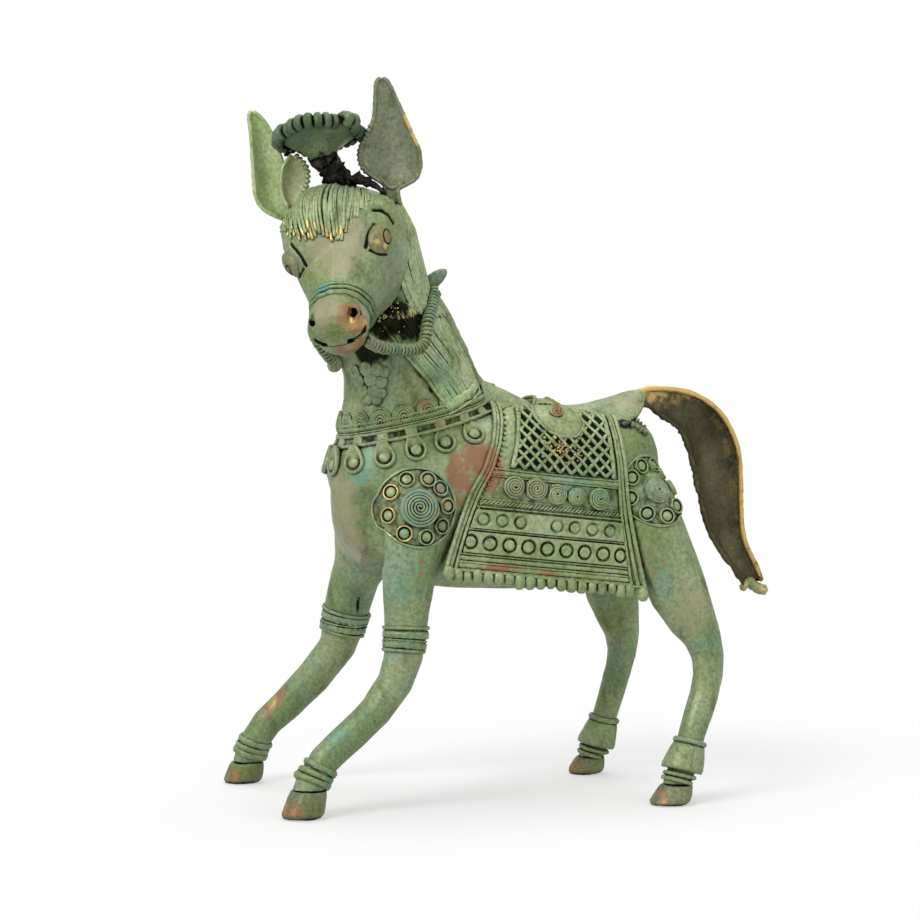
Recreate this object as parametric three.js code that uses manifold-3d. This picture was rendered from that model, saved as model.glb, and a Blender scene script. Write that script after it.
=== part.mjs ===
// Lost-wax cast brass horse, standing, head turned to its left, dressed with blanket, saddle and collar.
// Millimetres, +Z up, the horse faces -Y and its left side is +X. The four flat soles stand on Z = 0.

import * as THREE from 'three';
import { mergeVertices } from 'three/addons/utils/BufferGeometryUtils.js';
import Module from 'manifold-3d';

const wasm = await Module();
wasm.setup();

const V = (x, y, z) => new THREE.Vector3(x, y, z);
const LEFT = 1;
const RIGHT = -1;
const SIDES = [['left', LEFT], ['right', RIGHT]];

// Fits and wall thicknesses
const GAP = 0.3;
const SHELL_WALL = 3;
const CLOTH_SEAT = 0.5;
const BLANKET_THICK = 2;
const TRIM_THICK = 1.6;

// Trunk: [y, middle height, half width, half height], chest to rump
const TRUNK = [
  [-53, 131, 5, 6],
  [-51, 130, 13, 15],
  [-45, 128, 21, 25],
  [-32, 126.5, 28, 34],
  [-8, 125.5, 31, 37],
  [22, 125, 32.5, 38],
  [52, 125, 32, 38],
  [72, 127.5, 29.5, 35],
  [82, 130.5, 23.5, 28],
  [88, 132.5, 15, 19],
  [91, 133.5, 6, 9],
];
const TRUNK_SQUARE = 0.74;
const TRUNK_SIDES = 20;
const TRUNK_STEPS = 13;
const HOLLOW_SIDES = 12;
const HOLLOW_STEPS = 8;

// Neck: [x, y, z, half width, half depth], trunk to head
const NECK = [
  [0, -14, 138, 24, 30],
  [0, -17, 158, 26, 32],
  [0, -20.5, 176, 22, 26.5],
  [3, -30.5, 197, 18.5, 21],
  [7, -39.5, 217, 16, 18],
  [10, -43.5, 233, 14, 15],
];
const NECK_SIDES = 16;
const NECK_STEPS = 8;

// Head, set on the neck: turned, bowed and tipped. Rows run back of the skull to the noseband:
// [distance ahead of the middle of the skull, half width, height above, depth below]
const HEAD_MIDDLE = [11, -44.9, 234];
const HEAD_TURN = 68;
const HEAD_BOW = 45;
const HEAD_TIP = 12;
const HEAD = [
  [-22, 4, 5, 4],
  [-18, 13, 13, 12],
  [-8, 20.5, 20, 19],
  [4, 23.5, 21.5, 23],
  [15, 23, 20, 24],
  [26, 19, 17, 21.5],
  [36, 14, 14.5, 16],
  [43, 11.6, 12.8, 12.4],
];
const MUZZLE = [
  [43.3, 11.8, 13.6, 1],
  [48, 12.4, 14, 1],
  [53, 12.8, 13.6, 1],
  [57, 11.4, 11.4, 1],
  [59.5, 7, 7, 1],
];
const LIP = [
  [43.3, 10.8, -1.6, 10],
  [48, 11, -1.6, 10.4],
  [54, 10.8, -1.6, 10.4],
  [57.5, 8.6, -1.6, 8.6],
  [59, 5.4, -1.6, 5.6],
];
const HEAD_SIDES = 14;
const HEAD_SQUARE = 0.9;
const NOSTRIL_RADIUS = 1.9;
const NOSTRIL_SPREAD = 8;
const NOSTRIL_RISE = 9.5;
const NOSTRIL_DEPTH = 8.5;
const NOSTRIL_SPLAY = 1;
const NOSEBAND_AT = 42.5;
const NOSEBAND_WIDTH = 4.2;
const NOSEBAND_THICK = 2.4;
const EYE_AT = [16.5, 13];
const EYE_LENGTH = 13;
const EYE_HEIGHT = 8.5;
const EYE_STANDOUT = 2.2;
const EYE_SET = 5.6;
const EYE_ROOT = 3;
const EYE_FACING = [0.1, 0.35, 0.93];
const EYE_SLANT = [0.92, -0.38, 0];

// Ears: leaf shapes; root and tip given on the head as [ahead, up, left]
const EAR_WALL = 2;
const EAR_WIDTH = 26;
const EAR_BELLY = 2.5;
const EAR_CUP = 7;
const EAR_FOOT = 4;
const EAR_STALK = 4.2;
const LEFT_EAR = { root: [-8, 15, 17.5], tip: [-39, 48.5, 22.5], open: [0.7, 0.65, 0.2] };
const RIGHT_EAR = { root: [-4, 15, -20], tip: [-33.5, 47.7, -30.9], open: [0.62, 0.55, 0.5] };

// Crest between the ears
const CREST_ROOT = [-10, 21, 0];
const CREST_TOP = [-20, 41, -3.5];
const CREST_LEAN = V(-0.3, -0.04, 0.95);
const CREST_CONE = 8;
const CREST_CONE_RADIUS = 6;
const CREST_STEM_RADIUS = 3.6;
const CREST_STEM_FLARE = 2.4;
const CREST_RADIUS = 18;
const CREST_THICK = 2.4;
const CREST_PETALS = 14;
const CREST_NOTCH = 1.6;
const CREST_BOSS_RADIUS = 6.5;
const CREST_BOSS_RISE = 5;
const CREST_RIM = 3;

// Forelock
const FORELOCK_WIDTH = 33;
const FORELOCK_FROM = -13;
const FORELOCK_TO = 18;
const FORELOCK_THICK = 3;
const FORELOCK_STRANDS = 7;
const FORELOCK_COMB = 0.7;

// Mane, combed from the neck crest down both sides in two tiers, the upper lying over the lower:
// shares of the neck from head to withers, thickness on the crest and at the ends, drop in degrees
const MANE_TIERS = [
  { from: 0.98, to: 0.62, crest: 4.4, ends: 3, drop: [116, 104] },
  { from: 0.7, to: 0.34, crest: 2.4, ends: 1.8, drop: [106, 72] },
];
const MANE_FLARE = 1;
const MANE_LOCKS = 9;
const MANE_COMB = 1.3;
const MANE_PARTING = 1.2;
const MANE_STEPS = 5;

// Reins, cord wound, and the peg behind the neck they are tied to
const REIN_RADIUS = 2.8;
const LEFT_REIN = [
  [46, -47.5, 193],
  [40, -38.8, 190],
  [30, -21.5, 190],
  [24, -16.4, 201],
  [12, -10, 213],
];
const RIGHT_REIN = [
  [32, -66, 195],
  [27, -60, 188],
  [20, -54.5, 183.5],
  [6, -52, 182.5],
  [-14, -45, 187],
  [-24, -24, 193],
  [-10, -9, 209],
];
const PEG_FROM = [4, -17, 211];
const PEG_TO = [8, -4.5, 221.5];
const PEG_RADIUS = 3.2;
const PEG_KNOB = 3.8;

// Throat tassel
const TASSEL_MIDDLE = [17, -41, 177];
const TASSEL_TURN = 40;
const TASSEL_RADIUS = 6;
const TASSEL_LOBES = 4;
const TASSEL_LOBE = 4.5;
const TASSEL_SPREAD = 4.7;

// Collar round the foot of the neck: a tilted ring, its scroll row above and its pendants below
const COLLAR_MIDDLE = [0, -17.5, 157.5];
const COLLAR_TILT = 12;
const COLLAR_HALF_LENGTH = 37;
const COLLAR_SIDE_CLEAR = 1.2;
const COLLAR_BAND = 7;
const COLLAR_PROUD = 2;
const COLLAR_DEPTH = 9;
const PENDANT_COUNT = 17;
const PENDANT_BACK = -0.55;
const PENDANT_WIDTH = 8;
const PENDANT_LENGTH = 10;
const PENDANT_THICK = 8.8;
const SCROLL_COUNT = 10;
const SCROLL_FOOT = 1.6;
const SCROLL_RISE = 4.6;

// Rosettes: [y, z, radius, distance of the face from the middle of the horse, lean to the rear in degrees]
const SHOULDER_ROSETTE = [-23, 124.6, 16, 36.5, 0];
const RUMP_ROSETTE = [81, 129.5, 14, 33.6, 18];
const ROSETTE_RIM = 0.6;
const ROSETTE_RINGS = 9;
const ROSETTE_RING_RADIUS = 3.1;
const ROSETTE_RING_PROUD = 0.9;
const ROSETTE_BOSS_RADIUS = 7.2;
const ROSETTE_BOSS_RISE = 2.6;
const ROSETTE_DEPTH = 14;

// Blanket: rows fall towards the rear; row height is measured at ROW_MIDDLE
const ROW_FALL = 0.115;
const ROW_MIDDLE = 30;
const BLANKET_TOP = 157.5;
const BLANKET_FOOT = 93;
const BLANKET_FRONT = [[158, 13], [149.6, 11.4], [124.3, 2.5], [89, -14.2]];
const BLANKET_REAR = [[158, 66.8], [90, 74.5]];
const LATTICE_ROWS = [139.5, 155.5];
const LATTICE_EDGES = [0.1, 0.86];
const LATTICE_BARS = 4;
const LATTICE_BAR_WIDTH = 1.7;
const LATTICE_LAP = 0.06;
const SCROLL_ROW = { at: 130.8, edges: [0.12, 0.8], count: 5, radius: 4.6 };
const UPPER_RINGS = { at: 116.8, edges: [0.06, 0.8], count: 8, radius: 3.2 };
const LOWER_RINGS = { at: 107.7, edges: [0.08, 0.88], count: 9, radius: 3.2 };
const ROW_STRIP = 7.4;
const ROW_END = 0.05;
const FRINGE_BEADS = 19;
const FRINGE_BEAD_LENGTH = 7;
const FRINGE_BEAD_THICK = 3.4;
const FRINGE_NICK = 2.4;
const FRINGE_EDGES = [0.03, 0.985];

// Saddle, its side flaps, and the crupper leaf that runs on to the tail
const SADDLE_FRONT = 24;
const SADDLE_REAR = 66;
const SADDLE_SPREAD = 33;
const SADDLE_THICK = 4.5;
const SADDLE_EDGE_CLEAR = 0.6;
const FLAP_MIDDLE = [40, 154];
const FLAP_RADIUS = [11, 9];
const CRUPPER_FROM = 66.8;
const CRUPPER_TO = 86;
const CRUPPER_SPREAD = 30;
const CRUPPER_THICK = 3;
const CRUPPER_RISE = 7;

// Tail, a leaf hammered to a channel that is open towards the horse's left: [y, z, half width]
const TAIL = [
  [86, 162.5, 5],
  [96, 167.5, 5.5],
  [107, 163, 8.8],
  [114.5, 154, 11],
  [119.5, 142, 11.8],
  [121.5, 131, 11.2],
  [123.2, 121, 9.8],
  [125, 111, 8.2],
  [129.5, 101, 6],
  [136, 91, 4.6],
  [138.5, 85, 4.4],
];
const TAIL_WALL = 2.2;
const TAIL_CUP = 0.75;
const TAIL_X = -2;

// Legs: [x, y, z, half width, half depth], trunk to hoof
const LEGS = {
  left_fore: [
    [22, -17, 136, 9, 15],
    [24, -19.5, 124, 11.5, 18.5],
    [25.8, -23.8, 107, 10.5, 14.5],
    [27.5, -26, 90, 10, 10.7],
    [29, -27.5, 74, 9, 9.2],
    [30.5, -29.3, 61, 7.9, 8.2],
    [32, -36.9, 46, 7, 7.1],
    [33.8, -57, 28, 6.6, 6.7],
    [34.8, -66.5, 18.5, 6.5, 6.6],
    [36, -71.5, 6, 6.5, 6.8],
  ],
  right_fore: [
    [-20, -27.5, 136, 11, 21],
    [-24, -28.5, 122, 12, 17.5],
    [-29, -31, 104, 10.5, 13],
    [-33, -35, 85, 10, 10.8],
    [-36, -37.3, 72, 9.2, 9.8],
    [-39.2, -41.3, 57.5, 7.8, 8.1],
    [-44, -58, 37.5, 7, 7.2],
    [-46.8, -70, 25.8, 6.6, 6.7],
    [-49.2, -75.7, 15.1, 6.4, 6.5],
    [-51.2, -78.5, 4, 6.4, 6.6],
  ],
  left_hind: [
    [22, 75, 134, 9, 12],
    [25.5, 79.5, 118, 11, 14],
    [29.5, 86, 100, 11, 13.6],
    [33, 92.5, 82, 10, 12.6],
    [35.5, 99.5, 69, 8, 8.6],
    [37.2, 102, 58, 6.6, 6.8],
    [39.4, 100.2, 47, 6.1, 6.3],
    [42.5, 94.1, 32, 5.8, 5.9],
    [44.5, 90.2, 21.5, 5.8, 5.9],
    [47.6, 82.5, 3, 5.8, 5.9],
  ],
  right_hind: [
    [-20, 74, 134, 9, 12],
    [-22.5, 75.5, 116, 11, 14],
    [-24.5, 78.5, 95, 11, 13.5],
    [-25.8, 82.5, 76, 9.5, 11.4],
    [-26.8, 86, 64, 7.8, 8.2],
    [-27.8, 86.2, 53, 6.3, 6.5],
    [-29, 83.6, 40.5, 5.7, 5.8],
    [-30.4, 79.6, 26, 5.5, 5.6],
    [-31.4, 76.6, 15.5, 5.5, 5.6],
    [-32.6, 71.5, 2, 5.5, 5.6],
  ],
};
const LEG_SIDES = 12;
const LEG_STEPS = 13;

// Hooves: sole middle [x, y], sole half width and half length, height
const HOOVES = {
  left_fore: [36.5, -73, 8.2, 9, 11],
  right_fore: [-52.6, -79.6, 7.6, 8.2, 9],
  left_hind: [48.2, 80.3, 7.8, 8.8, 8],
  right_hind: [-32.8, 71.2, 7, 7.8, 7.5],
};

const HOOF_TOP_PROUD = 0.7;
const HOOF_SWELL = [[0, -1.2], [0.16, 0.45], [0.4, 0.7], [0.75, 0.5], [1, 0]];

// Bands round the legs: [leg, height from, height to, thickness at the top, thickness at the foot]
const BANDS = {
  left_knee_band: ['left_fore', 75.5, 65, 1.6, 1.6],
  right_knee_band: ['right_fore', 76.5, 64.5, 1.6, 1.6],
  left_fore_fetlock_band: ['left_fore', 21, 11.5, 1.6, 1.6],
  right_fore_fetlock_band: ['right_fore', 19, 9.5, 1.6, 1.6],
  left_hind_cuff: ['left_hind', 25.5, 12.6, 1.4, 3],
  right_hind_cuff: ['right_hind', 25, 12, 1.4, 3],
  left_hind_anklet: ['left_hind', 12.2, 8.5, 2.2, 2.2],
  right_hind_anklet: ['right_hind', 11.6, 8, 2.2, 2.2],
};

// Finishes: green patina over brass, worn brass, dark bronze, fired clay
const patina = (colour, rough = 0.62, metal = 0.55) =>
  new THREE.MeshStandardMaterial({ color: colour, roughness: rough, metalness: metal });
const GREEN = 0x7d9472;
const PALE_GREEN = 0x8fa388;
const OLIVE = 0x77805a;
const DARK = 0x4a4431;
const WORN = 0x9a8550;
const RUST = 0x8a6248;
const CLAY = 0x7a5a45;

// Solids from plain triangle lists
function geometryOf(points, faces) {
  const geometry = new THREE.BufferGeometry();
  const places = points.flatMap((p) => [p.x, p.y, p.z]);
  geometry.setAttribute('position', new THREE.Float32BufferAttribute(places, 3));
  geometry.setIndex(faces.flat());
  return geometry;
}

function solidOf(source) {
  const bare = source.clone();
  bare.deleteAttribute('normal');
  bare.deleteAttribute('uv');
  const merged = mergeVertices(bare, 1e-4);
  const places = new Float32Array(merged.attributes.position.array);
  const corners = new Uint32Array(merged.index.array);
  const solid = new wasm.Manifold(new wasm.Mesh({ numProp: 3, vertProperties: places, triVerts: corners }));
  if (solid.volume() > 0) return solid;
  for (let i = 0; i < corners.length; i += 3) {
    [corners[i], corners[i + 1]] = [corners[i + 1], corners[i]];
  }
  return new wasm.Manifold(new wasm.Mesh({ numProp: 3, vertProperties: places, triVerts: corners }));
}

function geometryFrom(solid) {
  const mesh = solid.getMesh();
  const geometry = new THREE.BufferGeometry();
  const places = new Float32Array(mesh.numVert * 3);
  for (let i = 0; i < mesh.numVert; i += 1) {
    for (let k = 0; k < 3; k += 1) places[i * 3 + k] = mesh.vertProperties[i * mesh.numProp + k];
  }
  geometry.setAttribute('position', new THREE.BufferAttribute(places, 3));
  geometry.setIndex(new THREE.BufferAttribute(new Uint32Array(mesh.triVerts), 1));
  geometry.computeVertexNormals();
  return geometry;
}

const without = (solid, ...others) => others.reduce((left, other) => left.subtract(other), solid);
const joined = (...solids) => solids.reduce((all, next) => all.add(next));

// The largest body of a solid, so that slivers left by a cut are dropped
function mainBody(solid) {
  const bodies = solid.decompose();
  return bodies.reduce((best, next) => (next.volume() > best.volume() ? next : best));
}

// A closed skin over rings of points, with a fan over each end
function loft(rings) {
  const points = rings.flat();
  const faces = [];
  const count = rings[0].length;
  for (let i = 0; i + 1 < rings.length; i += 1) {
    for (let k = 0; k < count; k += 1) {
      const a = i * count + k;
      const b = i * count + ((k + 1) % count);
      faces.push([a, b, b + count], [a, b + count, a + count]);
    }
  }
  [0, rings.length - 1].forEach((end) => {
    const middle = rings[end].reduce((sum, p) => sum.add(p), V(0, 0, 0)).divideScalar(count);
    const centre = points.push(middle) - 1;
    for (let k = 0; k < count; k += 1) {
      const a = end * count + k;
      const b = end * count + ((k + 1) % count);
      faces.push(end === 0 ? [b, a, centre] : [a, b, centre]);
    }
  });
  return solidOf(geometryOf(points, faces));
}

// A closed sheet between an outer and an inner grid of points, given by functions of (u, v) in 0..1
function sheet(outer, inner, countU, countV) {
  const points = [];
  const faces = [];
  const row = countV + 1;
  const layer = (countU + 1) * row;
  [outer, inner].forEach((face) => {
    for (let i = 0; i <= countU; i += 1) {
      for (let k = 0; k <= countV; k += 1) points.push(face(i / countU, k / countV));
    }
  });
  const quad = (a, b, c, d) => faces.push([a, b, c], [a, c, d]);
  for (let i = 0; i < countU; i += 1) {
    for (let k = 0; k < countV; k += 1) {
      const a = i * row + k;
      quad(a, a + 1, a + row + 1, a + row);
      quad(layer + a, layer + a + row, layer + a + row + 1, layer + a + 1);
    }
  }
  for (let i = 0; i < countU; i += 1) {
    const low = i * row;
    const high = low + countV;
    quad(low, low + row, layer + low + row, layer + low);
    quad(high, layer + high, layer + high + row, high + row);
  }
  for (let k = 0; k < countV; k += 1) {
    const first = k;
    const last = countU * row + k;
    quad(first, layer + first, layer + first + 1, first + 1);
    quad(last, last + 1, layer + last + 1, layer + last);
  }
  return solidOf(geometryOf(points, faces));
}

// A row of numbers read between table rows, smooth
function smoothRows(rows) {
  const first = new THREE.CatmullRomCurve3(rows.map((r) => V(r[0], r[1], r[2])));
  const second = new THREE.CatmullRomCurve3(rows.map((r) => V(r[3] ?? 0, r[4] ?? 0, 0)));
  return (t) => {
    const a = first.getPoint(t);
    const b = second.getPoint(t);
    return [a.x, a.y, a.z, b.x, b.y];
  };
}

// A table of [key, value] read at any key, straight between rows
function between(table, key) {
  const up = table[0][0] < table[table.length - 1][0];
  const rows = up ? table : [...table].reverse();
  const last = rows.length - 1;
  if (key <= rows[0][0]) return rows[0][1];
  if (key >= rows[last][0]) return rows[last][1];
  const i = rows.findIndex((r) => r[0] > key);
  const share = (key - rows[i - 1][0]) / (rows[i][0] - rows[i - 1][0]);
  return THREE.MathUtils.lerp(rows[i - 1][1], rows[i][1], share);
}

const power = (value, exponent) => Math.sign(value) * Math.abs(value) ** exponent;
const turn = (share) => share * Math.PI * 2;
const rad = THREE.MathUtils.degToRad;

// Trunk
const trunkRow = smoothRows(TRUNK);
function trunkRings(grow, sides = TRUNK_SIDES, steps = TRUNK_STEPS) {
  const rings = [];
  for (let i = 0; i <= steps; i += 1) {
    const [y, middle, half, tall] = trunkRow(i / steps);
    const push = i === 0 ? -Math.max(grow, -20) : i === steps ? grow : 0;
    const ring = [];
    for (let k = 0; k < sides; k += 1) {
      const a = turn(k / sides);
      const x = Math.max(half + grow, 0.6) * power(Math.sin(a), TRUNK_SQUARE);
      const z = middle + Math.max(tall + grow, 0.6) * power(Math.cos(a), TRUNK_SQUARE);
      ring.push(V(x, y + push, z));
    }
    rings.push(ring);
  }
  return rings;
}

function trunkAt(y) {
  let low = 0;
  let high = 1;
  for (let i = 0; i < 40; i += 1) {
    const mid = (low + high) / 2;
    if (trunkRow(mid)[0] < y) low = mid;
    else high = mid;
  }
  return trunkRow(low);
}

// A point over the trunk at (y, angle from the top), lifted off the surface
function onBack(y, degrees, lift) {
  const place = (yy, aa) => {
    const [, middle, half, tall] = trunkAt(yy);
    const a = rad(aa);
    return V(half * power(Math.sin(a), TRUNK_SQUARE), yy, middle + tall * power(Math.cos(a), TRUNK_SQUARE));
  };
  const at = place(y, degrees);
  const alongY = place(y + 0.5, degrees).sub(place(y - 0.5, degrees));
  const round = place(y, degrees + 0.5).sub(place(y, degrees - 0.5));
  const out = alongY.cross(round).normalize();
  if (out.dot(V(at.x, 0, at.z - trunkAt(y)[1])) < 0) out.negate();
  return at.addScaledVector(out, lift);
}

// A point on the side cloth, which follows the trunk to its widest and then hangs straight down
function onSide(side, y, z, lift) {
  const place = (yy, zz) => {
    const [, middle, half, tall] = trunkAt(yy);
    const rise = Math.min(Math.max((zz - middle) / tall, 0), 0.995);
    const exponent = 2 / TRUNK_SQUARE;
    return V(half * (1 - rise ** exponent) ** (1 / exponent), yy, zz);
  };
  const at = place(y, z);
  const alongY = place(y + 0.5, z).sub(place(y - 0.5, z));
  const down = place(y, z - 0.5).sub(place(y, z + 0.5));
  const out = down.cross(alongY).normalize();
  if (out.x < 0) out.negate();
  at.addScaledVector(out, lift);
  at.x *= side;
  return at;
}

// Blanket coordinates: share of the way from front edge to rear edge, and row height
function onBlanket(side, share, row, lift) {
  const y = THREE.MathUtils.lerp(between(BLANKET_FRONT, row), between(BLANKET_REAR, row), share);
  return onSide(side, y, row - ROW_FALL * (y - ROW_MIDDLE), lift);
}

// Limbs: sections square to a smooth middle line
function limbSection(rows, t, grow = 0) {
  const read = smoothRows(rows);
  const [x, y, z, half, deep] = read(t);
  const ahead = read(Math.min(t + 0.01, 1));
  const behind = read(Math.max(t - 0.01, 0));
  const along = V(ahead[0] - behind[0], ahead[1] - behind[1], ahead[2] - behind[2]).normalize();
  const across = V(1, 0, 0).addScaledVector(along, -along.x).normalize();
  const back = along.clone().cross(across);
  return { at: V(x, y, z), along, across, back, half: half + grow, deep: deep + grow };
}

function sectionRing(section, sides) {
  const ring = [];
  for (let k = 0; k < sides; k += 1) {
    const a = turn(k / sides);
    ring.push(section.at.clone()
      .addScaledVector(section.across, section.half * Math.cos(a))
      .addScaledVector(section.back, section.deep * Math.sin(a)));
  }
  return ring;
}

function limb(rows, sides, steps, grow = 0, from = 0, to = 1) {
  const rings = [];
  for (let i = 0; i <= steps; i += 1) {
    rings.push(sectionRing(limbSection(rows, from + ((to - from) * i) / steps, grow), sides));
  }
  return loft(rings);
}

// Where along a leg its middle line is at height z
function legShare(rows, z) {
  const read = smoothRows(rows);
  let low = 0;
  let high = 1;
  for (let i = 0; i < 40; i += 1) {
    const mid = (low + high) / 2;
    if (read(mid)[2] > z) low = mid;
    else high = mid;
  }
  return low;
}

// Head coordinates to the horse's frame
const headTurn = rad(HEAD_TURN);
const headBow = rad(HEAD_BOW);
const headTip = rad(HEAD_TIP);
const headFlat = V(Math.sin(headTurn), -Math.cos(headTurn), 0);
const level = V(Math.cos(headTurn), Math.sin(headTurn), 0);
const blend = (first, share, second, other) =>
  first.clone().multiplyScalar(share).addScaledVector(second, other);
const headAhead = blend(headFlat, Math.cos(headBow), V(0, 0, -1), Math.sin(headBow));
const headRise = blend(headFlat, Math.sin(headBow), V(0, 0, 1), Math.cos(headBow));
const headLeft = blend(level, Math.cos(headTip), headRise, Math.sin(headTip));
const headUp = blend(headRise, Math.cos(headTip), level, -Math.sin(headTip));
const headAxes = (ahead, up, left) => V(0, 0, 0)
  .addScaledVector(headAhead, ahead)
  .addScaledVector(headUp, up)
  .addScaledVector(headLeft, left);
const onHead = (ahead, up, left) => headAxes(ahead, up, left).add(V(...HEAD_MIDDLE));

function headRows(rows, steps) {
  const read = smoothRows(rows);
  const out = [];
  for (let i = 0; i <= steps; i += 1) out.push(read(i / steps));
  return out;
}

function headLoft(rows, steps, sides, grow = 0) {
  const rings = headRows(rows, steps).map(([ahead, half, above, below], i) => {
    const push = i === 0 ? -grow : i === steps ? grow : 0;
    const ring = [];
    for (let k = 0; k < sides; k += 1) {
      const a = turn(k / sides);
      const up = Math.cos(a) > 0 ? above + grow : below + grow;
      const rise = up * power(Math.cos(a), HEAD_SQUARE);
      ring.push(onHead(ahead + push, rise, (half + grow) * power(Math.sin(a), HEAD_SQUARE)));
    }
    return ring;
  });
  return loft(rings);
}

function headAt(ahead) {
  const rows = headRows(HEAD, 60);
  return rows.reduce((best, row) => (Math.abs(row[0] - ahead) < Math.abs(best[0] - ahead) ? row : best));
}

// A point over the skull at (ahead, angle from the top), lifted off it
function onSkull(ahead, degrees, lift) {
  const [, half, above, below] = headAt(ahead);
  const a = rad(degrees);
  const up = (Math.cos(a) > 0 ? above : below) + lift;
  const rise = up * power(Math.cos(a), HEAD_SQUARE);
  return onHead(ahead, rise, (half + lift) * power(Math.sin(a), HEAD_SQUARE));
}

// A short round bar between two points, with its own end radii
function bar(from, to, radiusFrom, radiusTo, sides = 12, steps = 1) {
  const along = to.clone().sub(from).normalize();
  const across = V(0.3, 0.2, 1).cross(along).normalize();
  const back = along.clone().cross(across);
  const rings = [];
  for (let i = 0; i <= steps; i += 1) {
    const radius = THREE.MathUtils.lerp(radiusFrom, radiusTo, i / steps);
    const at = from.clone().lerp(to, i / steps);
    rings.push(sectionRing({ at, across, back, half: radius, deep: radius }, sides));
  }
  return loft(rings);
}

// A wire or cord along a smooth line
function cord(points, radius, steps, sides) {
  const curve = new THREE.CatmullRomCurve3(points.map((p) => V(...p)));
  const round = new THREE.Shape().absarc(0, 0, radius, 0, Math.PI * 2);
  const outline = new THREE.Shape(round.getPoints(sides).slice(0, -1));
  return solidOf(new THREE.ExtrudeGeometry(outline, { steps, extrudePath: curve, bevelEnabled: false }));
}

// An egg with half sizes along three axes
function egg(at, axes, halves, sides = 8, rows = 5) {
  const ball = new THREE.SphereGeometry(1, sides, rows);
  const frame = new THREE.Matrix4().makeBasis(
    axes[0].clone().multiplyScalar(halves[0]),
    axes[1].clone().multiplyScalar(halves[1]),
    axes[2].clone().multiplyScalar(halves[2]),
  );
  ball.applyMatrix4(frame.setPosition(at));
  return solidOf(ball);
}

// The assembly
const horse = new THREE.Group();
horse.name = 'brass_horse';
function place(name, solid, material) {
  const mesh = new THREE.Mesh(geometryFrom(mainBody(solid)), material);
  mesh.name = name;
  horse.add(mesh);
  return solid;
}

// Trunk, neck and the clay they were built over
const trunk = loft(trunkRings(0));
const trunkSeat = loft(trunkRings(GAP));
const trunkHollow = loft(trunkRings(-SHELL_WALL, HOLLOW_SIDES, HOLLOW_STEPS));
const trunkClay = loft(trunkRings(-SHELL_WALL - GAP, HOLLOW_SIDES, HOLLOW_STEPS));
const neck = limb(NECK, NECK_SIDES, NECK_STEPS);
const neckSeat = limb(NECK, NECK_SIDES, NECK_STEPS, GAP);
const neckHollow = limb(NECK, HOLLOW_SIDES, 5, -SHELL_WALL, 0.02, 0.9);
const neckClay = limb(NECK, HOLLOW_SIDES, 5, -SHELL_WALL - GAP, 0.02, 0.89);
const skull = headLoft(HEAD, 11, HEAD_SIDES);
const skullSeat = headLoft(HEAD, 11, HEAD_SIDES, GAP);
place('torso_shell', without(trunk, trunkHollow, neckHollow), patina(GREEN));
place('clay_core', without(joined(trunkClay, neckClay), skullSeat), patina(CLAY, 0.95, 0));
place('neck_shell', without(neck, trunkSeat, neckHollow, skullSeat), patina(GREEN));

// Head, muzzle and lips
const bridge = HEAD[HEAD.length - 1];
const bandRows = [-0.5, -0.2, 0.2, 0.5].map((share) => {
  const swell = NOSEBAND_THICK * (1 - share ** 2);
  return [NOSEBAND_AT + share * NOSEBAND_WIDTH, bridge[1] + swell, bridge[2] + swell, bridge[3] + swell];
});
const band = headLoft(bandRows, 3, HEAD_SIDES);
const bandSeat = headLoft(bandRows, 3, HEAD_SIDES, GAP);
const nose = headLoft(MUZZLE, 6, HEAD_SIDES);
const noseSeat = headLoft(MUZZLE, 6, HEAD_SIDES, GAP);
const noseTip = MUZZLE[MUZZLE.length - 1][0];
const nostrils = [LEFT, RIGHT].map((side) => {
  const mouth = onHead(noseTip + 2.5, NOSTRIL_RISE, side * (NOSTRIL_SPREAD + NOSTRIL_SPLAY));
  const end = onHead(noseTip - NOSTRIL_DEPTH, NOSTRIL_RISE, side * NOSTRIL_SPREAD);
  return bar(mouth, end, NOSTRIL_RADIUS, NOSTRIL_RADIUS, 8);
});
const lip = headLoft(LIP, 6, HEAD_SIDES);
const lipSeat = headLoft(LIP, 6, HEAD_SIDES, GAP);
place('head', skull, patina(PALE_GREEN));
place('muzzle', without(nose, ...nostrils), patina(RUST));
place('lower_lip', without(lip, noseSeat), patina(PALE_GREEN));
place('noseband', without(band, skullSeat, noseSeat, lipSeat), patina(WORN));

// Eyes
function eye(side, spare) {
  const [ahead, up] = EYE_AT;
  const at = onHead(ahead, up, side * (headAt(ahead)[1] - EYE_SET));
  const out = headAxes(EYE_FACING[0], EYE_FACING[1], side * EYE_FACING[2]).normalize();
  const long = headAxes(...EYE_SLANT);
  long.addScaledVector(out, -long.dot(out)).normalize();
  const tall = out.clone().cross(long);
  const halves = [EYE_LENGTH / 2, EYE_HEIGHT / 2, EYE_STANDOUT + EYE_ROOT].map((half) => half + spare);
  return egg(at, [long, tall, out], halves, 12, 8);
}
SIDES.forEach(([word, side]) => {
  place(`${word}_eye`, without(eye(side, 0), skullSeat), patina(OLIVE, 0.5));
});

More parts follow.
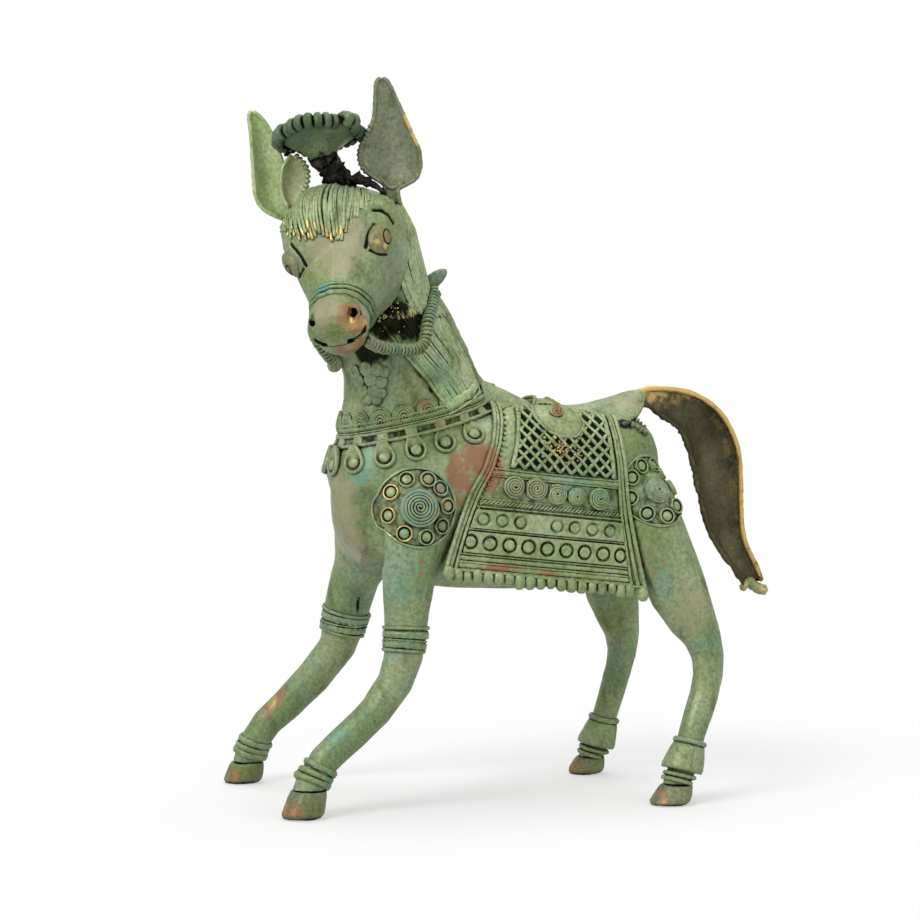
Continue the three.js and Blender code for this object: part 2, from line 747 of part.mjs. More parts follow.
// Ears
function ear({ root, tip, open }, spare = 0) {
  const from = onHead(...root);
  const to = onHead(...tip);
  const along = to.clone().sub(from).normalize();
  const front = headAxes(...open);
  front.addScaledVector(along, -front.dot(along)).normalize();
  const across = along.clone().cross(front);
  const reach = to.distanceTo(from) + EAR_FOOT;
  const leaf = (u, v, inset) => {
    const swell = Math.sin(Math.PI * Math.min(u, 0.985) ** 0.62) ** 0.9;
    const wide = (EAR_STALK / 2) * (1 - u) + (EAR_WIDTH / 2) * swell;
    const a = (v - 0.5) * 2;
    const belly = EAR_BELLY * Math.sin(Math.PI * u);
    const sag = EAR_CUP * (wide / (EAR_WIDTH / 2)) * (1 - a * a);
    return from.clone()
      .addScaledVector(along, u * reach - EAR_FOOT)
      .addScaledVector(across, a * Math.max(wide - inset * 0.25 + spare, 0.6) + belly)
      .addScaledVector(front, -sag + inset);
  };
  return sheet((u, v) => leaf(u, v, -spare), (u, v) => leaf(u, v, EAR_WALL + spare), 8, 4);
}
place('left_ear', without(ear(LEFT_EAR), skullSeat), patina(OLIVE));
place('right_ear', without(ear(RIGHT_EAR), skullSeat), patina(GREEN));

// Crest: a petalled dish with a boss on a flaring stem
const crestRoot = onHead(...CREST_ROOT);
const crestTop = onHead(...CREST_TOP);
const crestOut = CREST_LEAN.clone().normalize();
const crestAcross = headAxes(0, 0, 1);
crestAcross.addScaledVector(crestOut, -crestAcross.dot(crestOut)).normalize();
const crestUp = crestOut.clone().cross(crestAcross);
const dishRings = [-CREST_THICK / 2, CREST_THICK / 2].map((lift) => {
  const ring = [];
  const sides = CREST_PETALS * 2;
  for (let k = 0; k < sides; k += 1) {
    const a = turn(k / sides);
    const radius = CREST_RADIUS - CREST_NOTCH * (1 - Math.abs(Math.sin((a * CREST_PETALS) / 2)));
    ring.push(crestTop.clone()
      .addScaledVector(crestAcross, radius * Math.cos(a))
      .addScaledVector(crestUp, radius * Math.sin(a))
      .addScaledVector(crestOut, lift));
  }
  return ring;
});
const crestAxes = [crestAcross, crestUp, crestOut];
const boss = egg(crestTop, crestAxes, [CREST_BOSS_RADIUS, CREST_BOSS_RADIUS, CREST_BOSS_RISE], 12, 8);
const coneFoot = crestTop.clone().addScaledVector(crestOut, -CREST_CONE);
const cone = bar(coneFoot, crestTop, CREST_CONE_RADIUS, CREST_RADIUS - CREST_RIM, 14);
const crestFlower = joined(loft(dishRings), boss, cone);
const stemStart = crestRoot.clone().lerp(crestTop, -0.15);
const dishBack = bar(crestTop.clone().addScaledVector(crestOut, -CREST_CONE - GAP),
  crestTop.clone().addScaledVector(crestOut, 20), CREST_RADIUS + 4, CREST_RADIUS + 4, 24);
const stem = bar(stemStart, crestTop, CREST_STEM_RADIUS, CREST_STEM_RADIUS + CREST_STEM_FLARE, 12, 3);
place('crest_flower', without(crestFlower, ear(LEFT_EAR, GAP), ear(RIGHT_EAR, GAP)), patina(GREEN));
place('crest_stem', without(stem, dishBack, skullSeat), patina(DARK));

// Forelock, combed strands over the forehead
const forelockFace = (lift) => (u, v) => {
  const ahead = THREE.MathUtils.lerp(FORELOCK_FROM, FORELOCK_TO, u);
  const [, half] = headAt(ahead);
  const spread = (FORELOCK_WIDTH / (half * 2)) * 52;
  const comb = lift > GAP ? FORELOCK_COMB * Math.abs(Math.sin(v * Math.PI * FORELOCK_STRANDS)) : 0;
  return onSkull(ahead, (v - 0.5) * 2 * spread, lift + comb);
};
const forelock = sheet(forelockFace(GAP + FORELOCK_THICK), forelockFace(-1.5), 3, FORELOCK_STRANDS * 2);
const stemRoom = CREST_STEM_RADIUS + GAP;
const stemSeat = bar(stemStart, crestTop, stemRoom, stemRoom + CREST_STEM_FLARE, 12, 3);
const faceRoom = [ear(LEFT_EAR, GAP), ear(RIGHT_EAR, GAP), eye(LEFT, GAP), eye(RIGHT, GAP)];
place('forelock', without(forelock, skullSeat, stemSeat, ...faceRoom), patina(WORN, 0.5));

// Mane, hanging in locks to both sides of the neck
function onNeck(share, degrees, lift) {
  const section = limbSection(NECK, share, lift);
  const a = rad(degrees);
  return section.at.clone()
    .addScaledVector(section.across, section.half * Math.sin(a))
    .addScaledVector(section.back, section.deep * Math.cos(a));
}
const neckBackIsBack = limbSection(NECK, 0.5).back.y > 0;
const backAngle = (degrees) => (neckBackIsBack ? degrees : 180 - degrees);
function mane(side, spare = 0) {
  const tiers = MANE_TIERS.map(({ from, to, crest, ends, drop }) => {
    const face = (outer) => (u, v) => {
      const share = THREE.MathUtils.lerp(from, to, u) + spare * 0.03 * (0.5 - u);
      const reach = THREE.MathUtils.lerp(drop[0], drop[1], u) + spare * 8;
      const comb = MANE_COMB * Math.abs(Math.sin(v * Math.PI * MANE_LOCKS));
      const thick = THREE.MathUtils.lerp(crest, ends, v) + MANE_FLARE * u * u + comb;
      const parting = spare > 0 ? 0 : MANE_PARTING;
      return onNeck(share, side * backAngle(parting + v * reach), outer ? GAP + thick + spare : -1 - spare);
    };
    return sheet(face(true), face(false), MANE_STEPS, MANE_LOCKS * 2);
  });
  return joined(...tiers);
}
const maneSolids = {};
SIDES.forEach(([word, side]) => {
  maneSolids[word] = without(mane(side), neckSeat, skullSeat, trunkSeat);
});

// Legs, their bands and hooves
const legSeats = {};
const hoofTop = (name) => HOOVES[name][4];
const slabBelow = (z) => {
  const box = new THREE.BoxGeometry(400, 400, 100);
  box.translate(0, 0, z - 50);
  return solidOf(box);
};
Object.entries(LEGS).forEach(([name, rows]) => {
  legSeats[name] = limb(rows, LEG_SIDES, LEG_STEPS, GAP);
  const leg = limb(rows, LEG_SIDES, LEG_STEPS);
  place(`${name}leg`, without(leg, trunkSeat, slabBelow(hoofTop(name) + GAP)), patina(GREEN));
});
Object.entries(HOOVES).forEach(([name, [x, y, half, long, tall]]) => {
  const foot = limbSection(LEGS[name], legShare(LEGS[name], tall));
  const rings = HOOF_SWELL.map(([share, swell]) => {
    const ring = [];
    for (let k = 0; k < LEG_SIDES; k += 1) {
      const a = turn(k / LEG_SIDES);
      const across = THREE.MathUtils.lerp(half, foot.half + HOOF_TOP_PROUD, share) + swell;
      const deep = THREE.MathUtils.lerp(long, foot.deep + HOOF_TOP_PROUD, share) + swell;
      const midX = THREE.MathUtils.lerp(x, foot.at.x, share);
      const midY = THREE.MathUtils.lerp(y, foot.at.y, share);
      ring.push(V(midX + across * Math.cos(a), midY + deep * Math.sin(a), tall * share));
    }
    return ring;
  });
  place(`${name}_hoof`, loft(rings), patina(WORN, 0.5, 0.7));
});
Object.entries(BANDS).forEach(([name, [leg, from, to, top, foot]]) => {
  const rows = LEGS[leg];
  const start = legShare(rows, from);
  const end = legShare(rows, to);
  const rings = [0, 1].map((share) => {
    const grow = THREE.MathUtils.lerp(top, foot, share) + GAP;
    return sectionRing(limbSection(rows, THREE.MathUtils.lerp(start, end, share), grow), LEG_SIDES);
  });
  place(name, without(loft(rings), legSeats[leg], slabBelow(hoofTop(leg) + GAP)), patina(OLIVE, 0.55, 0.6));
});
const allLegSeats = Object.values(legSeats);
const bodySeats = [trunkSeat, neckSeat, ...allLegSeats];

// Rosettes on shoulders and rump
function rosetteAxes(side, lean) {
  const out = V(side * Math.cos(rad(lean)), Math.sin(rad(lean)), 0);
  return { out, across: V(-out.y, out.x, 0).multiplyScalar(side), up: V(0, 0, 1) };
}
function rosette(side, [y, z, radius, face, lean]) {
  const at = V(side * face, y, z);
  const { out, across, up } = rosetteAxes(side, lean);
  const back = at.clone().addScaledVector(out, -ROSETTE_DEPTH);
  const parts = [bar(back, at, radius, radius, 18)];
  for (let i = 0; i < ROSETTE_RINGS; i += 1) {
    const a = turn(i / ROSETTE_RINGS);
    const reach = radius - ROSETTE_RING_RADIUS - ROSETTE_RIM;
    const spot = at.clone()
      .addScaledVector(across, reach * Math.cos(a))
      .addScaledVector(up, reach * Math.sin(a));
    const top = spot.clone().addScaledVector(out, ROSETTE_RING_PROUD);
    parts.push(bar(spot.addScaledVector(out, -1), top, ROSETTE_RING_RADIUS, ROSETTE_RING_RADIUS - 0.5, 6));
  }
  const bossHalves = [ROSETTE_BOSS_RADIUS, ROSETTE_BOSS_RADIUS, ROSETTE_BOSS_RISE];
  parts.push(egg(at, [across, up, out], bossHalves, 10, 4));
  return joined(...parts);
}
function rosetteRoom(side, [y, z, radius, face, lean]) {
  const at = V(side * face, y, z);
  const { out } = rosetteAxes(side, lean);
  const from = at.clone().addScaledVector(out, -ROSETTE_DEPTH - 10);
  return bar(from, at.addScaledVector(out, 15), radius + GAP, radius + GAP, 18);
}
SIDES.forEach(([word, side]) => {
  const shoulder = rosette(side, SHOULDER_ROSETTE);
  const rump = rosette(side, RUMP_ROSETTE);
  place(`${word}_shoulder_rosette`, without(shoulder, ...bodySeats), patina(PALE_GREEN));
  place(`${word}_rump_rosette`, without(rump, ...bodySeats), patina(PALE_GREEN));
});

// Blanket on each side, with its lattice, scroll row, ring rows and bead fringe
const TRIM_SEAT = CLOTH_SEAT + BLANKET_THICK + GAP;
function blanketSheet(side, edges, rows, low, high, countU, countV) {
  const face = (lift) => (u, v) => onBlanket(side,
    THREE.MathUtils.lerp(edges[0], edges[1], u), THREE.MathUtils.lerp(rows[0], rows[1], v), lift);
  return sheet(face(high), face(low), countU, countV);
}
function blanketOut(side, share, row) {
  return onBlanket(side, share, row, 1).sub(onBlanket(side, share, row, 0)).normalize();
}
function latticeBar(side, from, to) {
  const steps = 4;
  const face = (lift) => (u, v) => {
    const reach = THREE.MathUtils.lerp(-LATTICE_LAP, 1 + LATTICE_LAP, u);
    const share = THREE.MathUtils.lerp(from[0], to[0], reach);
    const row = THREE.MathUtils.lerp(from[1], to[1], reach);
    return onBlanket(side, share, row + (v - 0.5) * LATTICE_BAR_WIDTH * 1.4, lift);
  };
  return sheet(face(TRIM_SEAT + TRIM_THICK), face(TRIM_SEAT), steps, 1);
}
function ringRow(side, { at, edges, count, radius }) {
  const ends = [edges[0] - ROW_END, edges[1] + ROW_END];
  const rows = [at - ROW_STRIP / 2, at + ROW_STRIP / 2];
  const parts = [blanketSheet(side, ends, rows, TRIM_SEAT, TRIM_SEAT + TRIM_THICK * 0.5, 5, 1)];
  for (let i = 0; i < count; i += 1) {
    const share = THREE.MathUtils.lerp(edges[0], edges[1], i / (count - 1));
    const spot = onBlanket(side, share, at, TRIM_SEAT + TRIM_THICK * 0.5);
    const out = blanketOut(side, share, at).multiplyScalar(TRIM_THICK * 0.5);
    parts.push(bar(spot.clone().sub(out), spot.clone().add(out), radius, radius - 0.5, 6));
  }
  return joined(...parts);
}
SIDES.forEach(([word, side]) => {
  const clothRows = [BLANKET_FOOT, BLANKET_TOP];
  const cloth = blanketSheet(side, [0, 1], clothRows, CLOTH_SEAT, CLOTH_SEAT + BLANKET_THICK, 6, 10);
  place(`${word}_blanket`, without(cloth, rosetteRoom(side, RUMP_ROSETTE), ...allLegSeats), patina(GREEN));

  const bars = [];
  const wide = (LATTICE_EDGES[1] - LATTICE_EDGES[0]) / LATTICE_BARS;
  for (let i = 0; i < LATTICE_BARS; i += 1) {
    const near = LATTICE_EDGES[0] + wide * i;
    bars.push(latticeBar(side, [near, LATTICE_ROWS[0]], [near + wide, LATTICE_ROWS[1]]));
    bars.push(latticeBar(side, [near + wide, LATTICE_ROWS[0]], [near, LATTICE_ROWS[1]]));
  }
  place(`${word}_lattice`, joined(...bars), patina(GREEN));

  place(`${word}_scroll_row`, ringRow(side, SCROLL_ROW), patina(GREEN));
  place(`${word}_upper_ring_row`, ringRow(side, UPPER_RINGS), patina(OLIVE));
  place(`${word}_lower_ring_row`, ringRow(side, LOWER_RINGS), patina(OLIVE));

  const beadFace = (outer) => (u, v) => {
    const swell = Math.abs(Math.sin(u * Math.PI * FRINGE_BEADS));
    const drop = GAP + v * (FRINGE_BEAD_LENGTH - FRINGE_NICK * (1 - swell));
    const half = (FRINGE_BEAD_THICK / 2) * (0.55 + 0.45 * swell);
    const lift = CLOTH_SEAT + BLANKET_THICK / 2 + (outer ? half : -half);
    const share = THREE.MathUtils.lerp(FRINGE_EDGES[0], FRINGE_EDGES[1], u);
    return onBlanket(side, share, BLANKET_FOOT - drop, lift);
  };
  const fringe = sheet(beadFace(true), beadFace(false), FRINGE_BEADS * 2, 1);
  place(`${word}_fringe`, without(fringe, trunkSeat, ...allLegSeats), patina(OLIVE));
});

const blanketTops = SIDES.map(([, side]) =>
  blanketSheet(side, [-0.02, 1.02], [BLANKET_FOOT, BLANKET_TOP + GAP], -2, TRIM_SEAT, 8, 10));

// Collar: scroll row, band and pendants
const collarTilt = rad(COLLAR_TILT);
const collarHalfWidth = trunkAt(COLLAR_MIDDLE[1])[2] + COLLAR_SIDE_CLEAR;
function onCollar(share, out, drop) {
  const a = turn(share);
  const x = (collarHalfWidth + out) * Math.sin(a);
  const y = -(COLLAR_HALF_LENGTH + out) * Math.cos(a);
  return V(x, y, -drop).applyAxisAngle(V(1, 0, 0), collarTilt).add(V(...COLLAR_MIDDLE));
}
function collarRing(reach, top, foot, sides, scallop = 0) {
  const rings = [];
  for (let k = 0; k < sides; k += 1) {
    const s = k / sides;
    const crown = top - scallop * Math.abs(Math.sin(Math.PI * s * SCROLL_COUNT));
    const corners = [[-COLLAR_DEPTH, crown], [reach, crown], [reach, foot], [-COLLAR_DEPTH, foot]];
    rings.push(corners.map(([out, drop]) => onCollar(s, out, drop)));
  }
  const points = rings.flat();
  const faces = [];
  for (let k = 0; k < sides; k += 1) {
    for (let i = 0; i < 4; i += 1) {
      const a = k * 4 + i;
      const b = k * 4 + ((i + 1) % 4);
      const c = ((k + 1) % sides) * 4 + ((i + 1) % 4);
      const d = ((k + 1) % sides) * 4 + i;
      faces.push([a, b, c], [a, c, d]);
    }
  }
  return solidOf(geometryOf(points, faces));
}
const outward = (share) => onCollar(share, 1, 0).sub(onCollar(share, 0, 0)).normalize();
const pendants = [];
for (let i = 0; i < PENDANT_COUNT; i += 1) {
  const share = (i + 0.5) / PENDANT_COUNT;
  if (Math.cos(turn(share)) < PENDANT_BACK) continue;
  const out = outward(share);
  const fall = V(0, 0, -1);
  fall.addScaledVector(out, -fall.dot(out)).normalize();
  const at = onCollar(share, -2.2, COLLAR_BAND + PENDANT_LENGTH * 0.42);
  const axes = [out.clone().cross(fall), fall, out];
  pendants.push(egg(at, axes, [PENDANT_WIDTH / 2, PENDANT_LENGTH / 2, PENDANT_THICK / 2], 6, 4));
}
const collarWhole = joined(collarRing(COLLAR_PROUD, 0, COLLAR_BAND, 18), ...pendants);
const scrollRow = collarRing(COLLAR_PROUD - 1, -SCROLL_FOOT, -GAP, SCROLL_COUNT * 3, SCROLL_RISE);
const shoulderRooms = SIDES.map(([, side]) => rosetteRoom(side, SHOULDER_ROSETTE));
place('collar', without(collarWhole, ...bodySeats, ...shoulderRooms, ...blanketTops), patina(GREEN));
place('collar_scrolls', without(scrollRow, trunkSeat, neckSeat), patina(GREEN));
const bandRoom = collarRing(COLLAR_PROUD + GAP, -GAP, COLLAR_BAND + GAP, 22);
const collarSeat = joined(bandRoom, collarRing(COLLAR_PROUD, -COLLAR_DEPTH, 0, 22));
SIDES.forEach(([word, side]) => {
  const other = side === LEFT ? [] : [mane(LEFT)];
  place(`${word}_mane`, without(maneSolids[word], collarSeat, ...other), patina(OLIVE));
});

// Saddle, flaps and crupper
function backSheet(from, to, spread, low, high, countU, countV) {
  const face = (lift) => (u, v) => onBack(THREE.MathUtils.lerp(from, to, u), (v - 0.5) * 2 * spread, lift);
  return sheet(face(high), face(low), countU, countV);
}
const saddle = backSheet(SADDLE_FRONT, SADDLE_REAR, SADDLE_SPREAD, GAP, GAP + SADDLE_THICK, 4, 8);
place('saddle_seat', without(saddle, ...blanketTops), patina(GREEN));
const saddleTop = 2 * GAP + SADDLE_THICK;
const saddleSpread = SADDLE_SPREAD + SADDLE_EDGE_CLEAR;
const saddleSeatRoom = backSheet(SADDLE_FRONT - GAP, SADDLE_REAR + GAP, saddleSpread, -1, saddleTop, 4, 8);
SIDES.forEach(([word, side]) => {
  const lift = TRIM_SEAT + TRIM_THICK + GAP;
  const face = (high) => (u, v) => {
    const reach = Math.sin(Math.PI * (0.08 + 0.84 * u));
    const y = FLAP_MIDDLE[0] + FLAP_RADIUS[0] * Math.cos(Math.PI * (0.08 + 0.84 * u));
    const z = FLAP_MIDDLE[1] + 5 - v * (FLAP_RADIUS[1] + 5) * (0.3 + 0.7 * reach);
    return onSide(side, y, z, high);
  };
  const flap = sheet(face(lift + TRIM_THICK), face(lift), 8, 5);
  place(`${word}_saddle_flap`, without(flap, saddleSeatRoom), patina(RUST));
});
const crupperFace = (lift, spare) => (u, v) => {
  const y = THREE.MathUtils.lerp(CRUPPER_FROM - spare, CRUPPER_TO + spare, u);
  const at = onBack(y, (v - 0.5) * 2 * (CRUPPER_SPREAD - 8 * u + spare * 2), lift);
  return at.add(V(0, 0, CRUPPER_RISE * u * u));
};
const crupper = sheet(crupperFace(GAP + CRUPPER_THICK, 0), crupperFace(GAP, 0), 6, 6);
place('crupper', without(crupper, ...blanketTops), patina(GREEN));
const crupperRoom = sheet(crupperFace(2 * GAP + CRUPPER_THICK, GAP), crupperFace(0, GAP), 6, 6);

// Tail
const tailLine = new THREE.CatmullRomCurve3(TAIL.map(([y, z]) => V(TAIL_X, y, z)));
const tailWide = new THREE.CatmullRomCurve3(TAIL.map(([, , half]) => V(half, 0, 0)));
const tailFace = (inset) => (u, v) => {
  const at = tailLine.getPoint(u);
  const along = tailLine.getTangent(u);
  const across = along.clone().cross(V(1, 0, 0)).normalize();
  const half = tailWide.getPoint(u).x - inset * 0.6;
  const a = (v - 0.5) * Math.PI;
  const deep = half * TAIL_CUP;
  return at.addScaledVector(across, half * Math.sin(a))
    .addScaledVector(V(1, 0, 0), -deep * Math.cos(a) + inset * Math.max(0, Math.cos(a) - 0.15));
};
const tail = sheet(tailFace(0), tailFace(TAIL_WALL), 13, 5);
place('tail', without(tail, trunkSeat, crupperRoom), patina(DARK, 0.5, 0.75));

// Reins, the peg behind the neck, and the throat tassel
const maneRoom = [LEFT, RIGHT].map((side) => mane(side, GAP));
const PLAIN_AXES = [V(1, 0, 0), V(0, 1, 0), V(0, 0, 1)];
function pegSolid(spare) {
  const knob = PEG_KNOB + spare;
  const shank = bar(V(...PEG_FROM), V(...PEG_TO), PEG_RADIUS + spare, PEG_RADIUS + spare, 8);
  return joined(shank, egg(V(...PEG_TO), PLAIN_AXES, [knob, knob, knob], 8, 6));
}
const peg = pegSolid(0);
const pegRoom = pegSolid(GAP);
place('rein_peg', without(peg, neckSeat, ...maneRoom), patina(WORN));
const faceRooms = [skullSeat, noseSeat, lipSeat, bandSeat, neckSeat, pegRoom, ...maneRoom];
place('left_rein', without(cord(LEFT_REIN, REIN_RADIUS, 12, 6), ...faceRooms), patina(OLIVE));
place('right_rein', without(cord(RIGHT_REIN, REIN_RADIUS, 14, 6), ...faceRooms), patina(OLIVE));
const tasselAxes = PLAIN_AXES.map((axis) => axis.clone().applyAxisAngle(V(0, 0, 1), rad(TASSEL_TURN)));
const lobes = [];
for (let i = 0; i < TASSEL_LOBES; i += 1) {
  const a = turn(i / TASSEL_LOBES);
  const at = V(...TASSEL_MIDDLE)
    .addScaledVector(tasselAxes[0], TASSEL_SPREAD * Math.cos(a))
    .addScaledVector(tasselAxes[2], TASSEL_SPREAD * Math.sin(a));
  lobes.push(egg(at, tasselAxes, [TASSEL_LOBE, TASSEL_RADIUS, TASSEL_LOBE], 6, 4));
}
const reinRooms = [cord(RIGHT_REIN, REIN_RADIUS + GAP, 14, 6), cord(LEFT_REIN, REIN_RADIUS + GAP, 12, 6)];
place('throat_tassel', without(joined(...lobes), neckSeat, lipSeat, ...reinRooms), patina(GREEN));

// The part's origin: middle of its box, on the ground
const box = new THREE.Box3().setFromObject(horse);
const middle = box.getCenter(V(0, 0, 0));
horse.children.forEach((mesh) => mesh.geometry.translate(-middle.x, -middle.y, -box.min.z));

export default horse;
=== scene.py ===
import math

import bmesh
import bpy
import numpy as np
from mathutils import Euler, Matrix, Vector, noise
from mathutils.bvhtree import BVHTree


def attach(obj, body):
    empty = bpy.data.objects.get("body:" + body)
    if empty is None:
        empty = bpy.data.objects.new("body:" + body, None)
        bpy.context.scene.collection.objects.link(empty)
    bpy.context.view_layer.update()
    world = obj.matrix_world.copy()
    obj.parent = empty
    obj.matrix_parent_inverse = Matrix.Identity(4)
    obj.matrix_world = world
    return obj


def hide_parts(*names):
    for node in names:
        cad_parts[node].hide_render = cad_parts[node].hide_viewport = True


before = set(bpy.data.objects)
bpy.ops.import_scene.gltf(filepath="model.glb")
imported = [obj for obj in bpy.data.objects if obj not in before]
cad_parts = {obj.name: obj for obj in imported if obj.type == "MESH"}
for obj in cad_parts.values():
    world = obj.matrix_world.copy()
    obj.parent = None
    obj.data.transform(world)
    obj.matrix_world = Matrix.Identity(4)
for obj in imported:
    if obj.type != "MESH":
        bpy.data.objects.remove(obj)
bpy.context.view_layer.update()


# Trunk, neck and legs: one brass skin poured over a clay core, so the joins between the wax limbs have
# run into soft fillets. The skin is uneven from the fingers that pressed the wax, and green all over.
MM = 0.001
SKIN_VOXEL = 0.95 * MM
SEAT_CLOSE = 0.4 * MM
FILLET_REACH = 11 * MM
FILLET_ROUNDS = 70
DENT = 0.5
DENT_SCALE = 70
PIT = 0.12
PIT_SCALE = 330
BODY_NODES = ("torso_shell", "neck_shell", "left_foreleg", "right_foreleg", "left_hindleg", "right_hindleg")
LIMB_NODES = BODY_NODES[1:]
# A lump of wax fills the fold between the chest and the far foreleg: middle, half sizes. The fold was then
# smeared over: place, reach. The back was built up under the saddle strap: place along the horse, rise.
CHEST_LUMP = ((-20, -60, 110), (13, 13, 27))
CHEST_SMEAR = ((-17, -66, 104), 20)
CHEST_ROUNDS = 90
# The chest was patted flat in front: the way it was pressed, where that starts, how far it gives, heights
CHEST_PAT = {"way": (0.2756, 0.9613), "from": -74, "give": 2.4, "rows": (93, 101, 130, 137)}
BACK_RISE = ((-19, 0), (-12, 2.5), (-6, 4), (0, 2.4), (5, 0.6), (8, 0))
BACK_FOOT = 135
BACK_FADE = 15
BACK_HALF = 26


def solids(nodes, grow, lumps=()):
    """The solids of these nodes as one mesh, grown a little so that their seats close, with lumps added."""
    made = bmesh.new()
    for name in nodes:
        made.from_mesh(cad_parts[name].data)
    for middle, halves in lumps:
        size = Matrix.Diagonal(Vector(halves) * MM).to_4x4()
        place = Matrix.Translation(Vector(middle) * MM)
        bmesh.ops.create_icosphere(made, subdivisions=5, radius=1, matrix=place @ size)
    bmesh.ops.remove_doubles(made, verts=made.verts, dist=1e-6)
    made.normal_update()
    for corner in made.verts:
        corner.co += corner.normal * grow
    return made


def melt(nodes, voxel, grow, lumps=()):
    """The solids run together into one skin of small faces."""
    rough = bpy.data.meshes.new("rough")
    made = solids(nodes, grow, lumps)
    made.to_mesh(rough)
    made.free()
    holder = bpy.data.objects.new("rough", rough)
    bpy.context.scene.collection.objects.link(holder)
    remesh = holder.modifiers.new("melt", "REMESH")
    remesh.mode = "VOXEL"
    remesh.voxel_size = voxel
    graph = bpy.context.evaluated_depsgraph_get()
    skin = bpy.data.meshes.new_from_object(holder.evaluated_get(graph))
    bpy.data.objects.remove(holder)
    return skin


def rows_of(items, field, wide, kind=float):
    """A field of many items, with a row for each."""
    flat = np.empty(len(items) * wide, dtype=kind)
    items.foreach_get(field, flat)
    return flat.reshape(-1, wide)


def points_of(mesh):
    return rows_of(mesh.vertices, "co", 3)


def normals_of(mesh):
    return rows_of(mesh.vertex_normals, "vector", 3)


def edges_of(mesh):
    return rows_of(mesh.edges, "vertices", 2, int)


def eased(points, edges, share):
    """Every point moved a share of the way to the middle of its neighbours."""
    a, b = edges.T
    count = len(points)
    degree = np.bincount(a, minlength=count) + np.bincount(b, minlength=count)
    sums = [np.bincount(a, points[b, k], count) + np.bincount(b, points[a, k], count) for k in range(3)]
    middle = np.stack(sums, 1) / degree[:, None]
    return points + share * (middle - points)


def rounded(points, edges, rounds):
    """Facets rounded off without thinning the form: each easing is followed by a push back."""
    for _ in range(rounds):
        points = eased(points, edges, 0.6)
        points = eased(points, edges, -0.62)
    return points


def set_points(mesh, points):
    mesh.vertices.foreach_set("co", points.ravel())
    mesh.update()


def roughened(mesh, dent, dent_scale, pit, pit_scale):
    """Finger dents and casting pits worked into a skin; their depths in millimetres."""
    points = points_of(mesh)
    lift = np.empty(len(points))
    for i, place in enumerate(points):
        spot = Vector(place)
        lift[i] = dent * MM * noise.noise(spot * dent_scale) - pit * MM * abs(noise.noise(spot * pit_scale))
    set_points(mesh, points + normals_of(mesh) * lift[:, None])


def tree_of(*meshes):
    points = []
    faces = []
    for mesh in meshes:
        first = len(points)
        points.extend(Vector(p) for p in points_of(mesh))
        faces.extend(tuple(first + i for i in face.vertices) for face in mesh.polygons)
    return BVHTree.FromPolygons(points, faces)


def node_tree(*nodes):
    made = solids(nodes, 0)
    tree = BVHTree.FromBMesh(made)
    made.free()
    return tree


def distances(tree, points):
    return np.array([tree.find_nearest(Vector(p))[3] for p in points])


body_mesh = melt(BODY_NODES + ("clay_core",), SKIN_VOXEL, SEAT_CLOSE, (CHEST_LUMP,))
body_edges = edges_of(body_mesh)
skin_points = rounded(points_of(body_mesh), body_edges, 14)
near_trunk = distances(node_tree("torso_shell"), skin_points)
near_limb = distances(node_tree(*LIMB_NODES), skin_points)
fillet = np.clip(1 - np.maximum(near_trunk, near_limb) / FILLET_REACH, 0, 1)[:, None]
for _ in range(FILLET_ROUNDS):
    skin_points = eased(skin_points, body_edges, 0.55 * fillet)
smear_at, smear_reach = CHEST_SMEAR
from_smear = np.linalg.norm(skin_points / MM - np.array(smear_at), axis=1)
smear = np.clip(1.4 - from_smear / smear_reach, 0, 1)[:, None]
for _ in range(CHEST_ROUNDS):
    skin_points = eased(skin_points, body_edges, 0.6 * smear)
x, y, z = skin_points.T / MM
ahead_of = np.maximum(CHEST_PAT["from"] - (x * CHEST_PAT["way"][0] + y * CHEST_PAT["way"][1]), 0)
patted = ahead_of - CHEST_PAT["give"] * np.tanh(ahead_of / CHEST_PAT["give"])
patted = patted * np.interp(z, CHEST_PAT["rows"], (0, 1, 1, 0))
skin_points[:, :2] += np.outer(patted, CHEST_PAT["way"]) * MM
back_rise = np.interp(y, *zip(*BACK_RISE)) * np.clip((z - BACK_FOOT) / BACK_FADE, 0, 1)
skin_points[:, 2] += back_rise * np.clip(1 - (x / BACK_HALF) ** 2, 0, 1) * MM
set_points(body_mesh, skin_points)
set_points(body_mesh, skin_points - normals_of(body_mesh) * SEAT_CLOSE)
roughened(body_mesh, DENT, DENT_SCALE, PIT, PIT_SCALE)
body_tree = tree_of(body_mesh)

# Where the photograph was taken from; a spot of the photograph is given in its pixels
CAMERA_AT = Vector((1.1117, -0.3416, 0.2093))
CAMERA_TURN = Euler((math.radians(86.66), 0, math.radians(74)))
PHOTO_MIDDLE = 460
PHOTO_FOCUS = 2739.6
HORSE_AWAY = 1.13


def sight(spot):
    """The way from the camera through a spot of the photograph."""
    way = Vector((spot[0] - PHOTO_MIDDLE, PHOTO_MIDDLE - spot[1], -PHOTO_FOCUS))
    return (CAMERA_TURN.to_matrix() @ way).normalized()


def seen_at(tree, spot, lift=0.0):
    """The place on a skin that shows at a spot of the photograph, lifted off it, and the way it faces."""
    way = sight(spot)
    hit, facing, _, _ = tree.ray_cast(CAMERA_AT, way)
    if hit is None:
        hit, facing, _, _ = tree.find_nearest(CAMERA_AT + way * HORSE_AWAY)
    return hit - way * (lift * MM / max(-way.dot(facing), 0.4)), facing


